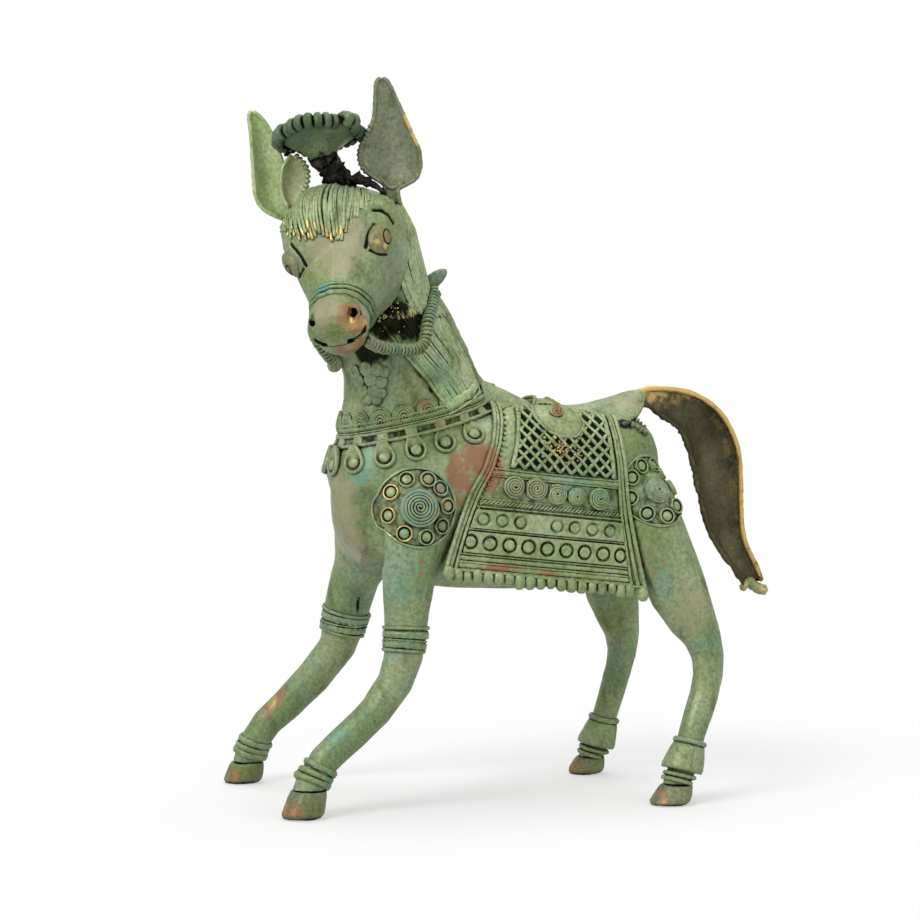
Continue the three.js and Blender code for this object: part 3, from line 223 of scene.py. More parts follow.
def smooth_line(points, step):
    """A smooth line through these places, with a point about every step."""
    stops = np.array([tuple(p) for p in points], dtype=float)
    padded = np.vstack((2 * stops[0] - stops[1], stops, 2 * stops[-1] - stops[-2]))
    fine = []
    for p0, p1, p2, p3 in zip(padded, padded[1:], padded[2:], padded[3:]):
        for t in np.linspace(0, 1, 12, endpoint=False):
            fine.append(0.5 * (2 * p1 + (p2 - p0) * t + (2 * p0 - 5 * p1 + 4 * p2 - p3) * t ** 2
                               + (3 * p1 - p0 - 3 * p2 + p3) * t ** 3))
    fine = np.array(fine + [stops[-1]])
    run = np.concatenate(([0], np.cumsum(np.linalg.norm(np.diff(fine, axis=0), axis=1))))
    marks = np.linspace(0, run[-1], max(3, int(run[-1] / step) + 1))
    return np.stack([np.interp(marks, run, column) for column in fine.T], 1)


def cut(mesh, places, width, depth):
    """A groove cut along a line; gives back how deep each point lies in it, from 0 to 1."""
    points = points_of(mesh)
    line = smooth_line(places, 0.3 * MM)
    near = np.full(len(points), 1.0)
    for place in line:
        near = np.minimum(near, np.linalg.norm(points - place, axis=1))
    share = np.clip(1 - (near / (width * MM)) ** 2, 0, 1)
    set_points(mesh, points - normals_of(mesh) * (share * depth * MM)[:, None])
    return share


def seen_line(tree, spots, lift=0.0):
    """A line of spots of the photograph laid on a skin."""
    return [seen_at(tree, spot, lift)[0] for spot in spots]


# The fold between the near foreleg and the chest, pressed in with a thumb, as spots of the photograph
LEG_FOLD = ((364, 506), (368, 522), (373, 540), (377, 558), (380, 577))
FOLD_WIDTH = 7.5
FOLD_DEPTH = 4.6
FOLD_ROUNDS = 16
in_fold = cut(body_mesh, seen_line(body_tree, LEG_FOLD), FOLD_WIDTH, FOLD_DEPTH)
skin_points = points_of(body_mesh)
for _ in range(FOLD_ROUNDS):
    skin_points = eased(skin_points, body_edges, 0.5 * np.clip(in_fold * 4, 0, 1)[:, None])
set_points(body_mesh, skin_points)
body_tree = tree_of(body_mesh)

# The stain of a point says what lies over the green there: bright rubbed brass, red-brown copper bloom,
# turquoise bloom, or a pale pinkish film, which also serves as painted sheen on the face, legs and back.
# Its soot says how black it is: black with clay in places, and painted shade in hollows, grooves and under
# the leaf in others.
PLAIN = (0, 0, 0, 0)
RUBBED = (1, 0, 0, 0)
RUST = (0, 1, 0, 0)
BLUE = (0, 0, 1, 0)
PALE_FILM_AND_SHEEN = (0, 0, 0, 1)


def within(points, middle, reach):
    """How far each point lies in a patch, from 0 to 1; middle and reach in millimetres."""
    away = np.linalg.norm((points / MM - np.array(middle)) / np.array(reach), axis=1)
    return np.clip(1.5 - away, 0, 1)


def stain_of(points, patches):
    """Stains worked out from patches: middle, reach, kind and strength."""
    stain = np.zeros((len(points), 4))
    for middle, reach, kind, strength in patches:
        stain += np.outer(within(points, middle, reach) * strength, kind)
    return np.clip(stain, 0, 1)


def soot_and_shade_of(points, patches):
    """Soot and painted shade worked out from patches: middle, reach and strength."""
    soot_and_shade = np.zeros(len(points))
    for middle, reach, strength in patches:
        soot_and_shade = np.maximum(soot_and_shade, within(points, middle, reach) * strength)
    return soot_and_shade


def from_photo(tree, rows):
    """Patches given by their spots in the photograph, set on a skin."""
    return [(tuple(seen_at(tree, row[0])[0] / MM),) + row[1:] for row in rows]


def set_stain(mesh, stain):
    layer = mesh.attributes.get("stain") or mesh.attributes.new("stain", "FLOAT_COLOR", "POINT")
    layer.data.foreach_set("color", np.asarray(stain, dtype=np.float32).ravel())


# The soot value marks black clay, and in places painted shade.
def set_soot_and_shade(mesh, soot_and_shade):
    layer = mesh.attributes.get("soot_and_shade") or mesh.attributes.new("soot_and_shade", "FLOAT", "POINT")
    layer.data.foreach_set("value", np.asarray(soot_and_shade, dtype=np.float32))


# Stains that the photograph shows: spot, reach, kind, strength
SEEN_STAINS = (
    # The pale patches are partly painted sheen on the chest, legs and rump.
    ((463, 478), (9, 7, 11), RUST, 0.85),
    ((478, 455), (9, 5, 8), RUST, 0.75),
    ((421, 567), (6, 2.0, 6), RUST, 0.55),
    ((480, 405), (6, 4, 4), RUST, 0.5),
    ((360, 466), (9, 9, 10), BLUE, 0.6),
    ((342, 505), (12, 8, 15), PALE_FILM_AND_SHEEN, 0.8),
    ((352, 550), (12, 8, 11), PALE_FILM_AND_SHEEN, 0.7),
    ((406, 590), (9, 9, 7), BLUE, 0.5),
    ((424, 540), (6, 5, 5), BLUE, 0.8),
    ((404, 650), (9, 9, 14), PALE_FILM_AND_SHEEN, 0.4),
    ((330, 735), (8, 8, 8), BLUE, 0.4),
    ((264, 713), (5, 4, 5), RUST, 0.6),
    ((278, 698), (5, 4, 6), RUST, 0.6),
    ((272, 702), (3, 2.5, 8), RUBBED, 0.5),
    ((455, 370), (9, 8, 7), PALE_FILM_AND_SHEEN, 0.5),
    ((655, 560), (9, 6, 12), RUST, 0.33),
    ((648, 500), (12, 12, 14), PALE_FILM_AND_SHEEN, 0.6),
    ((690, 610), (12, 8, 14), PALE_FILM_AND_SHEEN, 0.6),
)
# The far side repeats them roughly: middle, reach, kind, strength
FAR_STAINS = (
    ((-33, -29, 137), (9, 11, 16), RUST, 0.8),
    ((-31, 64, 94), (9, 9, 14), RUST, 0.5),
    ((-34, -40, 60), (14, 20, 14), PALE_FILM_AND_SHEEN, 0.5),
    ((-20, 63, 118), (20, 12, 20), PALE_FILM_AND_SHEEN, 0.6),
)
# Hollows still black with clay, with painted shade in the hollow behind the jaw, between the chin and the
# neck, and under the leaf's edge: spot, reach, strength
SEEN_SOOT_AND_SHADE = (
    # Clay and painted shade in the hollow behind the jaw
    ((392, 321), 6.5, 1.0),
    ((410, 326), 5, 1.0),
    ((384, 306), 4, 0.9),
    ((374, 322), 4.5, 0.9),
    ((381, 332), 4, 0.8),
    # Painted shade between the chin and the neck
    ((366, 355), 5, 0.9),
    ((380, 352), 4, 0.8),
    ((428, 376), 2.5, 0.8),
    ((431, 389), (1.5, 1.2, 2), 1.0),
    ((358, 603), (2.5, 0.8, 6), 0.75),
    # Painted shadow under the leaf's edge
    ((610, 423), (5, 5, 2.2), 0.9),
    ((627, 424), (5, 5, 2.4), 0.9),
)


def put(tree, kind, values=(), **settings):
    """A node with its settings, and with each listed input set or linked."""
    made = tree.nodes.new(kind)
    for key, value in settings.items():
        setattr(made, key, value)
    for socket, value in values:
        if isinstance(value, bpy.types.NodeSocket):
            tree.links.new(value, made.inputs[socket])
        else:
            made.inputs[socket].default_value = value
    return made


def ramp(tree, value, low, high, start=0.0, end=1.0):
    """A soft step: start below low, end above high."""
    values = (("Value", value), ("From Min", low), ("From Max", high), ("To Min", start), ("To Max", end))
    return put(tree, "ShaderNodeMapRange", values, interpolation_type="SMOOTHSTEP").outputs["Result"]


def blend(tree, share, first, second, mode="MIX"):
    """Two colours mixed by a share."""
    values = ((0, share), (6, first), (7, second))
    return put(tree, "ShaderNodeMix", values, data_type="RGBA", blend_type=mode).outputs[2]


def sums(tree, first, second, operation):
    return put(tree, "ShaderNodeMath", ((0, first), (1, second)), operation=operation).outputs[0]


def times(tree, first, second):
    return sums(tree, first, second, "MULTIPLY")


def plus(tree, first, second):
    return sums(tree, first, second, "ADD")


def most(tree, first, second):
    return sums(tree, first, second, "MAXIMUM")


def own_place(tree):
    return put(tree, "ShaderNodeTexCoord").outputs["Object"]


def grain(tree, place, scale, detail, rough=0.55):
    values = (("Vector", place), ("Scale", scale), ("Detail", detail), ("Roughness", rough))
    return put(tree, "ShaderNodeTexNoise", values).outputs["Fac"]


def moved(tree, place, step):
    return put(tree, "ShaderNodeVectorMath", ((0, place), (1, step)), operation="ADD").outputs[0]


def finish_group(name, inputs, outputs):
    """An empty finish shared by several materials, with its named inputs and outputs."""
    group = bpy.data.node_groups.new(name, "ShaderNodeTree")
    for label, kind, value in inputs:
        group.interface.new_socket(label, in_out="INPUT", socket_type=kind).default_value = value
    for label, kind in outputs:
        group.interface.new_socket(label, in_out="OUTPUT", socket_type=kind)
    return group, group.nodes.new("NodeGroupInput").outputs, group.nodes.new("NodeGroupOutput").inputs


COLOUR = "NodeSocketColor"
NUMBER = "NodeSocketFloat"
PLACE = "NodeSocketVector"
GREEN = (0.185, 0.262, 0.112)
SAGE = (0.295, 0.350, 0.180)
DEEP = (0.085, 0.115, 0.040)
YELLOW_GREEN = (0.225, 0.275, 0.068, 1)
TURQUOISE = (0.150, 0.345, 0.260, 1)
COPPER_RED = (0.315, 0.140, 0.070, 1)
# Pale pinkish film, which also serves as painted sheen on the face, legs and back
PINK_FILM_AND_SHEEN = (0.345, 0.315, 0.195, 1)
BRASS = (0.56, 0.39, 0.140, 1)
CREVICE = (0.012, 0.010, 0.007, 1)
# Grime: how far it looks for a fold, in millimetres, and how open a spot is where it ends and is full
FOLDS = (2.2, 0.75, 0.35)

# The green bloom: drifting clouds of sage and deep green, with yellow and turquoise in places
bloom, given, gives = finish_group(
    "green_bloom",
    (("Green", COLOUR, (*GREEN, 1)), ("Sage", COLOUR, (*SAGE, 1)), ("Deep", COLOUR, (*DEEP, 1)),
     ("Yellow", NUMBER, 0.5), ("Blue", NUMBER, 0.4), ("Shift", PLACE, (0, 0, 0))),
    (("Colour", COLOUR), ("Height", NUMBER), ("Roughness", NUMBER)))
shifted = moved(bloom, own_place(bloom), given["Shift"])
runs = put(bloom, "ShaderNodeVectorMath", ((0, shifted), (1, (1, 1, 0.5))), operation="MULTIPLY").outputs[0]
clouds = grain(bloom, shifted, 38, 4)
mottle = grain(bloom, runs, 130, 5, 0.6)
specks = grain(bloom, shifted, 640, 3, 0.6)
drift = grain(bloom, moved(bloom, shifted, (3.1, 7.7, 1.9)), 48, 3)
tone = blend(bloom, ramp(bloom, clouds, 0.38, 0.62), given["Green"], given["Sage"])
tone = blend(bloom, ramp(bloom, mottle, 0.52, 0.74, 0.0, 0.75), tone, given["Deep"])
tone = blend(bloom, times(bloom, ramp(bloom, drift, 0.52, 0.68), given["Yellow"]), tone, YELLOW_GREEN)
tone = blend(bloom, times(bloom, ramp(bloom, drift, 0.46, 0.34), given["Blue"]), tone, TURQUOISE)
pocks = grain(bloom, moved(bloom, shifted, (5.3, 2.1, 8.8)), 330, 3, 0.7)
shade = times(bloom, ramp(bloom, specks, 0.3, 0.7, 0.76, 1.2), ramp(bloom, pocks, 0.62, 0.7, 1.0, 0.62))
shade_colour = put(bloom, "ShaderNodeCombineColor", ((0, shade), (1, shade), (2, shade))).outputs[0]
bloom.links.new(blend(bloom, 1.0, tone, shade_colour, "MULTIPLY"), gives["Colour"])
bloom.links.new(plus(bloom, times(bloom, specks, 0.5), times(bloom, mottle, 0.7)), gives["Height"])
bloom.links.new(ramp(bloom, mottle, 0.3, 0.7, 0.42, 0.64), gives["Roughness"])

# Grime and painted shade: black-brown clay and oxide that no rubbing reaches, deep in the folds, and the
# clay and painted shade marked by soot
grime_and_shade, given, gives = finish_group(
    "fold_grime_and_shade", (("Reach", NUMBER, FOLDS[0] * MM), ("Open", NUMBER, FOLDS[1]), ("Shut", NUMBER, FOLDS[2])),
    (("Mask", NUMBER),))
hollow = put(grime_and_shade, "ShaderNodeAmbientOcclusion", (("Distance", given["Reach"]),), samples=6)
spread = grain(grime_and_shade, own_place(grime_and_shade), 260, 3)
ragged = plus(grime_and_shade, hollow.outputs["AO"], ramp(grime_and_shade, spread, 0.3, 0.7, 0.1, -0.1))
covered = ramp(grime_and_shade, ragged, given["Shut"], given["Open"], 1.0, 0.0)
black = put(grime_and_shade, "ShaderNodeAttribute", attribute_name="soot_and_shade").outputs["Fac"]
patchy = times(grime_and_shade, black, ramp(grime_and_shade, spread, 0.3, 0.7, 0.7, 1.2))
grime_and_shade.links.new(most(grime_and_shade, covered, ramp(grime_and_shade, patchy, 0.2, 0.65)), gives["Mask"])

# Stains: the patches marked on each piece, with ragged edges
stains, given, gives = finish_group(
    "marked_stains", (("Scale", NUMBER, 210.0),),
    (("Rubbed", NUMBER), ("Rust", NUMBER), ("Blue", NUMBER), ("PaleAndSheen", NUMBER)))
marked = put(stains, "ShaderNodeAttribute", attribute_name="stain")
parts = put(stains, "ShaderNodeSeparateColor", ((0, marked.outputs["Color"]),))
tatter = grain(stains, own_place(stains), given["Scale"], 5, 0.65)
edge = ramp(stains, tatter, 0.25, 0.75, 0.35, 1.65)
for label, strength in (("Rubbed", parts.outputs[0]), ("Rust", parts.outputs[1]),
                        ("Blue", parts.outputs[2]), ("PaleAndSheen", marked.outputs["Alpha"])):
    stains.links.new(ramp(stains, times(stains, strength, edge), 0.25, 0.75), gives[label])


def green_brass(name, yellow, blue, green=GREEN, sage=SAGE, deep=DEEP, shift=0.0, folds=FOLDS, wear=0.5,
                metal=0.25, bump=0.5):
    """Cast brass under green bloom, with grime and painted shade in the folds and brass showing where hands
    have rubbed.
    """
    material = bpy.data.materials.new(name)
    material.use_nodes = True
    tree = material.node_tree
    surface = tree.nodes["Principled BSDF"]
    base = put(tree, "ShaderNodeGroup", node_tree=bloom)
    for label, colour in (("Green", green), ("Sage", sage), ("Deep", deep)):
        base.inputs[label].default_value = (*colour, 1)
    for label, value in (("Yellow", yellow), ("Blue", blue), ("Shift", (shift, shift * 0.7, shift * 1.3))):
        base.inputs[label].default_value = value
    marks = put(tree, "ShaderNodeGroup", node_tree=stains).outputs
    darkening = put(tree, "ShaderNodeGroup", node_tree=grime_and_shade)
    for label, value in (("Reach", folds[0] * MM), ("Open", folds[1]), ("Shut", folds[2])):
        darkening.inputs[label].default_value = value
    dirt_and_shade = darkening.outputs["Mask"]
    height = base.outputs["Height"]
    polished = times(tree, ramp(tree, height, 0.74, 0.86), wear)
    uncovered = sums(tree, 1.0, dirt_and_shade, "SUBTRACT")
    bright = times(tree, most(tree, marks["Rubbed"], polished), uncovered)
    # The pale marks lay on the pink film, partly as painted sheen.
    tone = blend(tree, times(tree, marks["PaleAndSheen"], 0.75), base.outputs["Colour"], PINK_FILM_AND_SHEEN)
    tone = blend(tree, times(tree, marks["Blue"], 0.7), tone, TURQUOISE)
    tone = blend(tree, times(tree, marks["Rust"], 0.85), tone, COPPER_RED)
    # Grime and painted shade go on as the crevice colour.
    tone = blend(tree, times(tree, dirt_and_shade, 0.94), tone, CREVICE)
    tone = blend(tree, times(tree, bright, 0.9), tone, BRASS)
    tree.links.new(tone, surface.inputs["Base Color"])
    shine = most(tree, ramp(tree, bright, 0.0, 1.0, metal, 0.95), dirt_and_shade)
    tree.links.new(shine, surface.inputs["Metallic"])
    rough = plus(tree, base.outputs["Roughness"], times(tree, bright, -0.16))
    tree.links.new(plus(tree, rough, times(tree, dirt_and_shade, 0.3)), surface.inputs["Roughness"])
    surface.inputs["Specular IOR Level"].default_value = 0.45
    relief = put(tree, "ShaderNodeBump", (("Height", height), ("Strength", bump), ("Distance", 0.5 * MM)))
    tree.links.new(relief.outputs["Normal"], surface.inputs["Normal"])
    return material


def seat_piece(name, mesh, material, slot, *nodes):
    """A finished piece, riding on the horse's one body in place of the solids it dresses."""
    mesh.materials.clear()
    mesh.materials.append(material)
    mesh.polygons.foreach_set("use_smooth", np.ones(len(mesh.polygons), dtype=bool))
    mesh.name = name
    piece = bpy.data.objects.new(name, mesh)
    bpy.context.scene.collection.objects.link(piece)
    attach(piece, "root")
    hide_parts(*nodes)


skin_points = points_of(body_mesh)
set_stain(body_mesh, stain_of(skin_points, from_photo(body_tree, SEEN_STAINS) + list(FAR_STAINS)))
set_soot_and_shade(body_mesh, soot_and_shade_of(skin_points, from_photo(body_tree, SEEN_SOOT_AND_SHADE)))
body_brass = green_brass("body_brass", yellow=0.45, blue=0.3, folds=(5, 0.62, 0.3), wear=0.25)
seat_piece("cast_body", body_mesh, body_brass, "patina_brass", *BODY_NODES)


# Clay core: the lump of baked clay that the wax was laid over, still inside the trunk and neck.
# Red-brown and coarse, with grit and straw holes; the brass skin hides it.
CORE_VOXEL = 1.5 * MM
SKIN_WALL = 2.2 * MM
CLAY_RED = (0.20, 0.10, 0.055, 1)
CLAY_DARK = (0.09, 0.05, 0.03, 1)
clay = bpy.data.materials.new("baked_clay")
clay.use_nodes = True
clay_tree = clay.node_tree
clay_surface = clay_tree.nodes["Principled BSDF"]
clay_grit = grain(clay_tree, own_place(clay_tree), 480, 6, 0.7)
clay_tone = blend(clay_tree, ramp(clay_tree, clay_grit, 0.4, 0.65), CLAY_RED, CLAY_DARK)
clay_tree.links.new(clay_tone, clay_surface.inputs["Base Color"])
grit_values = (("Height", clay_grit), ("Strength", 0.8), ("Distance", 0.6 * MM))
grit_relief = put(clay_tree, "ShaderNodeBump", grit_values)
clay_tree.links.new(grit_relief.outputs["Normal"], clay_surface.inputs["Normal"])
clay_surface.inputs["Roughness"].default_value = 0.95
core_mesh = melt(("clay_core",), CORE_VOXEL, 0)
core_points = rounded(points_of(core_mesh), edges_of(core_mesh), 6)
for i, place in enumerate(core_points):
    skin, facing, _, _ = body_tree.find_nearest(Vector(place))
    if (skin - Vector(place)).dot(facing) < SKIN_WALL:
        core_points[i] = skin - facing * SKIN_WALL
set_points(core_mesh, core_points)
roughened(core_mesh, 0.3, DENT_SCALE, 0.2, PIT_SCALE)
seat_piece("baked_clay_core", core_mesh, clay, "fired_clay", "clay_core")


# Head: a smooth egg of wax over clay, turned to the horse's left and bowed, with a ball of a muzzle and
# a lip pressed on below it. The mouth was cut with a knife; fingers have rubbed the nose down to copper.
HEAD_MIDDLE = Vector((12.6, -72.28, 234)) * MM
HEAD_TURN = math.radians(68)
HEAD_BOW = math.radians(45)
HEAD_TIP = math.radians(12)
HEAD_VOXEL = 0.5 * MM
FACE_VOXEL = 0.4 * MM
# Lines cut in the face, as spots of the photograph
MOUTH_CUT = ((316, 342), (324, 346), (332, 347.5), (341.5, 345.5), (352, 341.5), (361.5, 337), (366, 329))
BROW_CUT = ((374, 209.5), (381, 210), (388, 214), (394, 223))
CREASE_CUT = ((374, 224), (369, 234), (366, 247))
LID_CUT = ((370, 250), (378, 253.6), (387, 254.8))
SOCKET = (374, 234)
# Wax built up on the poll and the far temple under the hair: spot of the photograph, reach, height
POLL = (((286, 216), 20, 7.5), ((322, 190), 17, 4.5), ((399, 206), 15, 3.4))
HEAD_AWAY = 1.115
NOSTRILS = ((313.5, 323), (355, 313.5))
FAR_SIDE_STEP = (3.5, -1.5, 0)
head_level = Vector((math.sin(HEAD_TURN), -math.cos(HEAD_TURN), 0))
head_side = Vector((math.cos(HEAD_TURN), math.sin(HEAD_TURN), 0))
UP = Vector((0, 0, 1))
HEAD_AHEAD = head_level * math.cos(HEAD_BOW) - UP * math.sin(HEAD_BOW)
head_rise = head_level * math.sin(HEAD_BOW) + UP * math.cos(HEAD_BOW)
HEAD_LEFT = head_side * math.cos(HEAD_TIP) + head_rise * math.sin(HEAD_TIP)
HEAD_UP = head_rise * math.cos(HEAD_TIP) - head_side * math.sin(HEAD_TIP)


def head_axes(ahead, up, left):
    return HEAD_AHEAD * ahead + HEAD_UP * up + HEAD_LEFT * left


def on_head(ahead, up, left):
    """A place given on the head in millimetres ahead of, above and left of the middle of the skull."""
    return HEAD_MIDDLE + head_axes(ahead, up, left) * MM


def across_face(place):
    """The same place on the other side of the face, where all sits a little further down."""
    return place - HEAD_LEFT * 2 * (place - HEAD_MIDDLE).dot(HEAD_LEFT) + head_axes(*FAR_SIDE_STEP) * MM


def recast(nodes, voxel, rounds, dent, pit):
    """A solid melted, rounded and dented: one small casting."""
    mesh = melt(nodes, voxel, 0)
    set_points(mesh, rounded(points_of(mesh), edges_of(mesh), rounds))
    roughened(mesh, dent, DENT_SCALE * 1.6, pit, PIT_SCALE * 1.3)
    return mesh


def swell(mesh, middle, reach, high):
    """A soft mound raised on a skin; reach and height in millimetres."""
    points = points_of(mesh)
    away = np.linalg.norm(points - np.array(middle), axis=1) / (reach * MM)
    rise = high * MM * np.clip(1 - away ** 2, 0, 1) ** 1.5
    set_points(mesh, points + normals_of(mesh) * rise[:, None])


def patch(place, reach, *kind):
    return (tuple(place / MM), reach) + kind


face_brass = green_brass(
    "face_brass", yellow=0.5, blue=0.2, shift=2.3, folds=(3.5, 0.6, 0.3), wear=0.3, metal=0.2)
head_mesh = recast(("head",), HEAD_VOXEL, 36, 0.3, 0.05)
skull = tree_of(head_mesh)
for spot, reach, high in POLL:
    swell(head_mesh, skull.find_nearest(CAMERA_AT + sight(spot) * HEAD_AWAY)[0], reach, high)
socket_at = seen_at(skull, SOCKET)[0]
for place in (socket_at, across_face(socket_at)):
    swell(head_mesh, place, 11, 1.6)
smooth_head = tree_of(head_mesh)
head_groove_shade = np.zeros(len(head_mesh.vertices))
# The brow, eye-corner and lower-lid grooves are darkened along their depth with painted shade.
for spots, width, depth in ((BROW_CUT, 1.3, 1.4), (CREASE_CUT, 1.1, 1.0), (LID_CUT, 0.8, 0.7)):
    near_line = seen_line(smooth_head, spots)
    far_line = [smooth_head.find_nearest(across_face(place))[0] for place in near_line]
    for line in (near_line, far_line):
        head_groove_shade = np.maximum(head_groove_shade, cut(head_mesh, line, width, depth))
set_soot_and_shade(head_mesh, head_groove_shade)
# The pale patches on the forehead and cheek are partly a painted highlight.
set_stain(head_mesh, stain_of(points_of(head_mesh), (
    patch(on_head(24, 18, 0), 12, PALE_FILM_AND_SHEEN, 0.95),
    patch(on_head(14, 18, 6), 7, PALE_FILM_AND_SHEEN, 0.6),
    patch(on_head(22, 0, 22), 11, PALE_FILM_AND_SHEEN, 0.5))))
seat_piece("cast_head", head_mesh, face_brass, "patina_brass", "head")
head_tree = tree_of(head_mesh)

muzzle_mesh = recast(("muzzle",), FACE_VOXEL, 16, 0.25, 0.05)
lip_mesh = recast(("lower_lip",), FACE_VOXEL, 16, 0.25, 0.05)
mouth_tree = tree_of(muzzle_mesh)
mouth_line = seen_line(mouth_tree, MOUTH_CUT)
# Painted shadow in the mouth slit.
muzzle_shade = cut(muzzle_mesh, mouth_line, 1.7, 1.9) * 1.4
# Painted shade in the nostril holes.
for spot in NOSTRILS:
    at, out = seen_at(mouth_tree, spot)
    upright = (at + HEAD_UP * 0.7 * MM, at, at - HEAD_UP * 0.7 * MM)
    muzzle_shade = np.maximum(muzzle_shade, cut(muzzle_mesh, upright, 1.8, 2.8) * 3)
set_soot_and_shade(muzzle_mesh, muzzle_shade)
set_stain(muzzle_mesh, stain_of(points_of(muzzle_mesh), (
    patch(on_head(54, 8, 9), 6.5, RUST, 1.0),
    patch(on_head(56, 7, 6), 3.6, RUBBED, 0.6),
    patch(on_head(54, 4, 11), 3.2, RUBBED, 0.5),
    patch(on_head(52, 13, -2), 7, PALE_FILM_AND_SHEEN, 0.9),
    patch(on_head(57, 7, -2), 4, RUST, 0.35))))
seat_piece("cast_muzzle", muzzle_mesh, face_brass, "patina_brass", "muzzle")
# Painted shadow along the lip's side of the mouth slit.
set_soot_and_shade(lip_mesh, cut(lip_mesh, mouth_line, 1.4, 0.9))
set_stain(lip_mesh, stain_of(points_of(lip_mesh), (
    patch(on_head(57, -4, 3), 7, RUST, 0.8),
    patch(on_head(58, -3, 4), 3, RUBBED, 0.6))))
seat_piece("cast_lower_lip", lip_mesh, face_brass, "patina_brass", "lower_lip")


# Eyes: a soft pad of wax in each socket with an upright ring pressed in for the pupil.
# Brass glints where the pad stands proud.
NEAR_EYE = {"at": (380, 238.5), "halves": (12.8, 15.5)}
NEAR_PUPIL = {"at": (387.6, 236.4), "halves": (3.5, 7.4), "lean": 0.14}
NEAR_GLINTS = ((377, 242), (385.5, 246))
FAR_EYE = {"at": (20.5, 10.7, -20), "halves": (6.3, 5.6)}
EYE_RISE = 2.3


def unit(rows):
    return rows / np.maximum(np.linalg.norm(rows, axis=-1, keepdims=True), 1e-12)


def square_axes(out):
    """Two directions square to a face: across it, and up it."""
    out = Vector(out).normalized()
    steady = UP if abs(out.z) < 0.9 else Vector((0, 1, 0))
    across = steady.cross(out).normalized()
    return across, out.cross(across), out


def turns_of(count, start=0.0):
    return [start + 2 * math.pi * i / count for i in range(count)]


def round_faces(rings, sides):
    """The faces of a round solid made of a first point, rings of points and a last point."""
    faces = []
    last = 1 + rings * sides
    for k in range(sides):
        k2 = (k + 1) % sides
        faces.append((0, 1 + k, 1 + k2))
        for low in range(1, last - sides, sides):
            faces.append((low + k, low + sides + k, low + sides + k2, low + k2))
        faces.append((last - sides + k, last, last - sides + k2))
    return faces


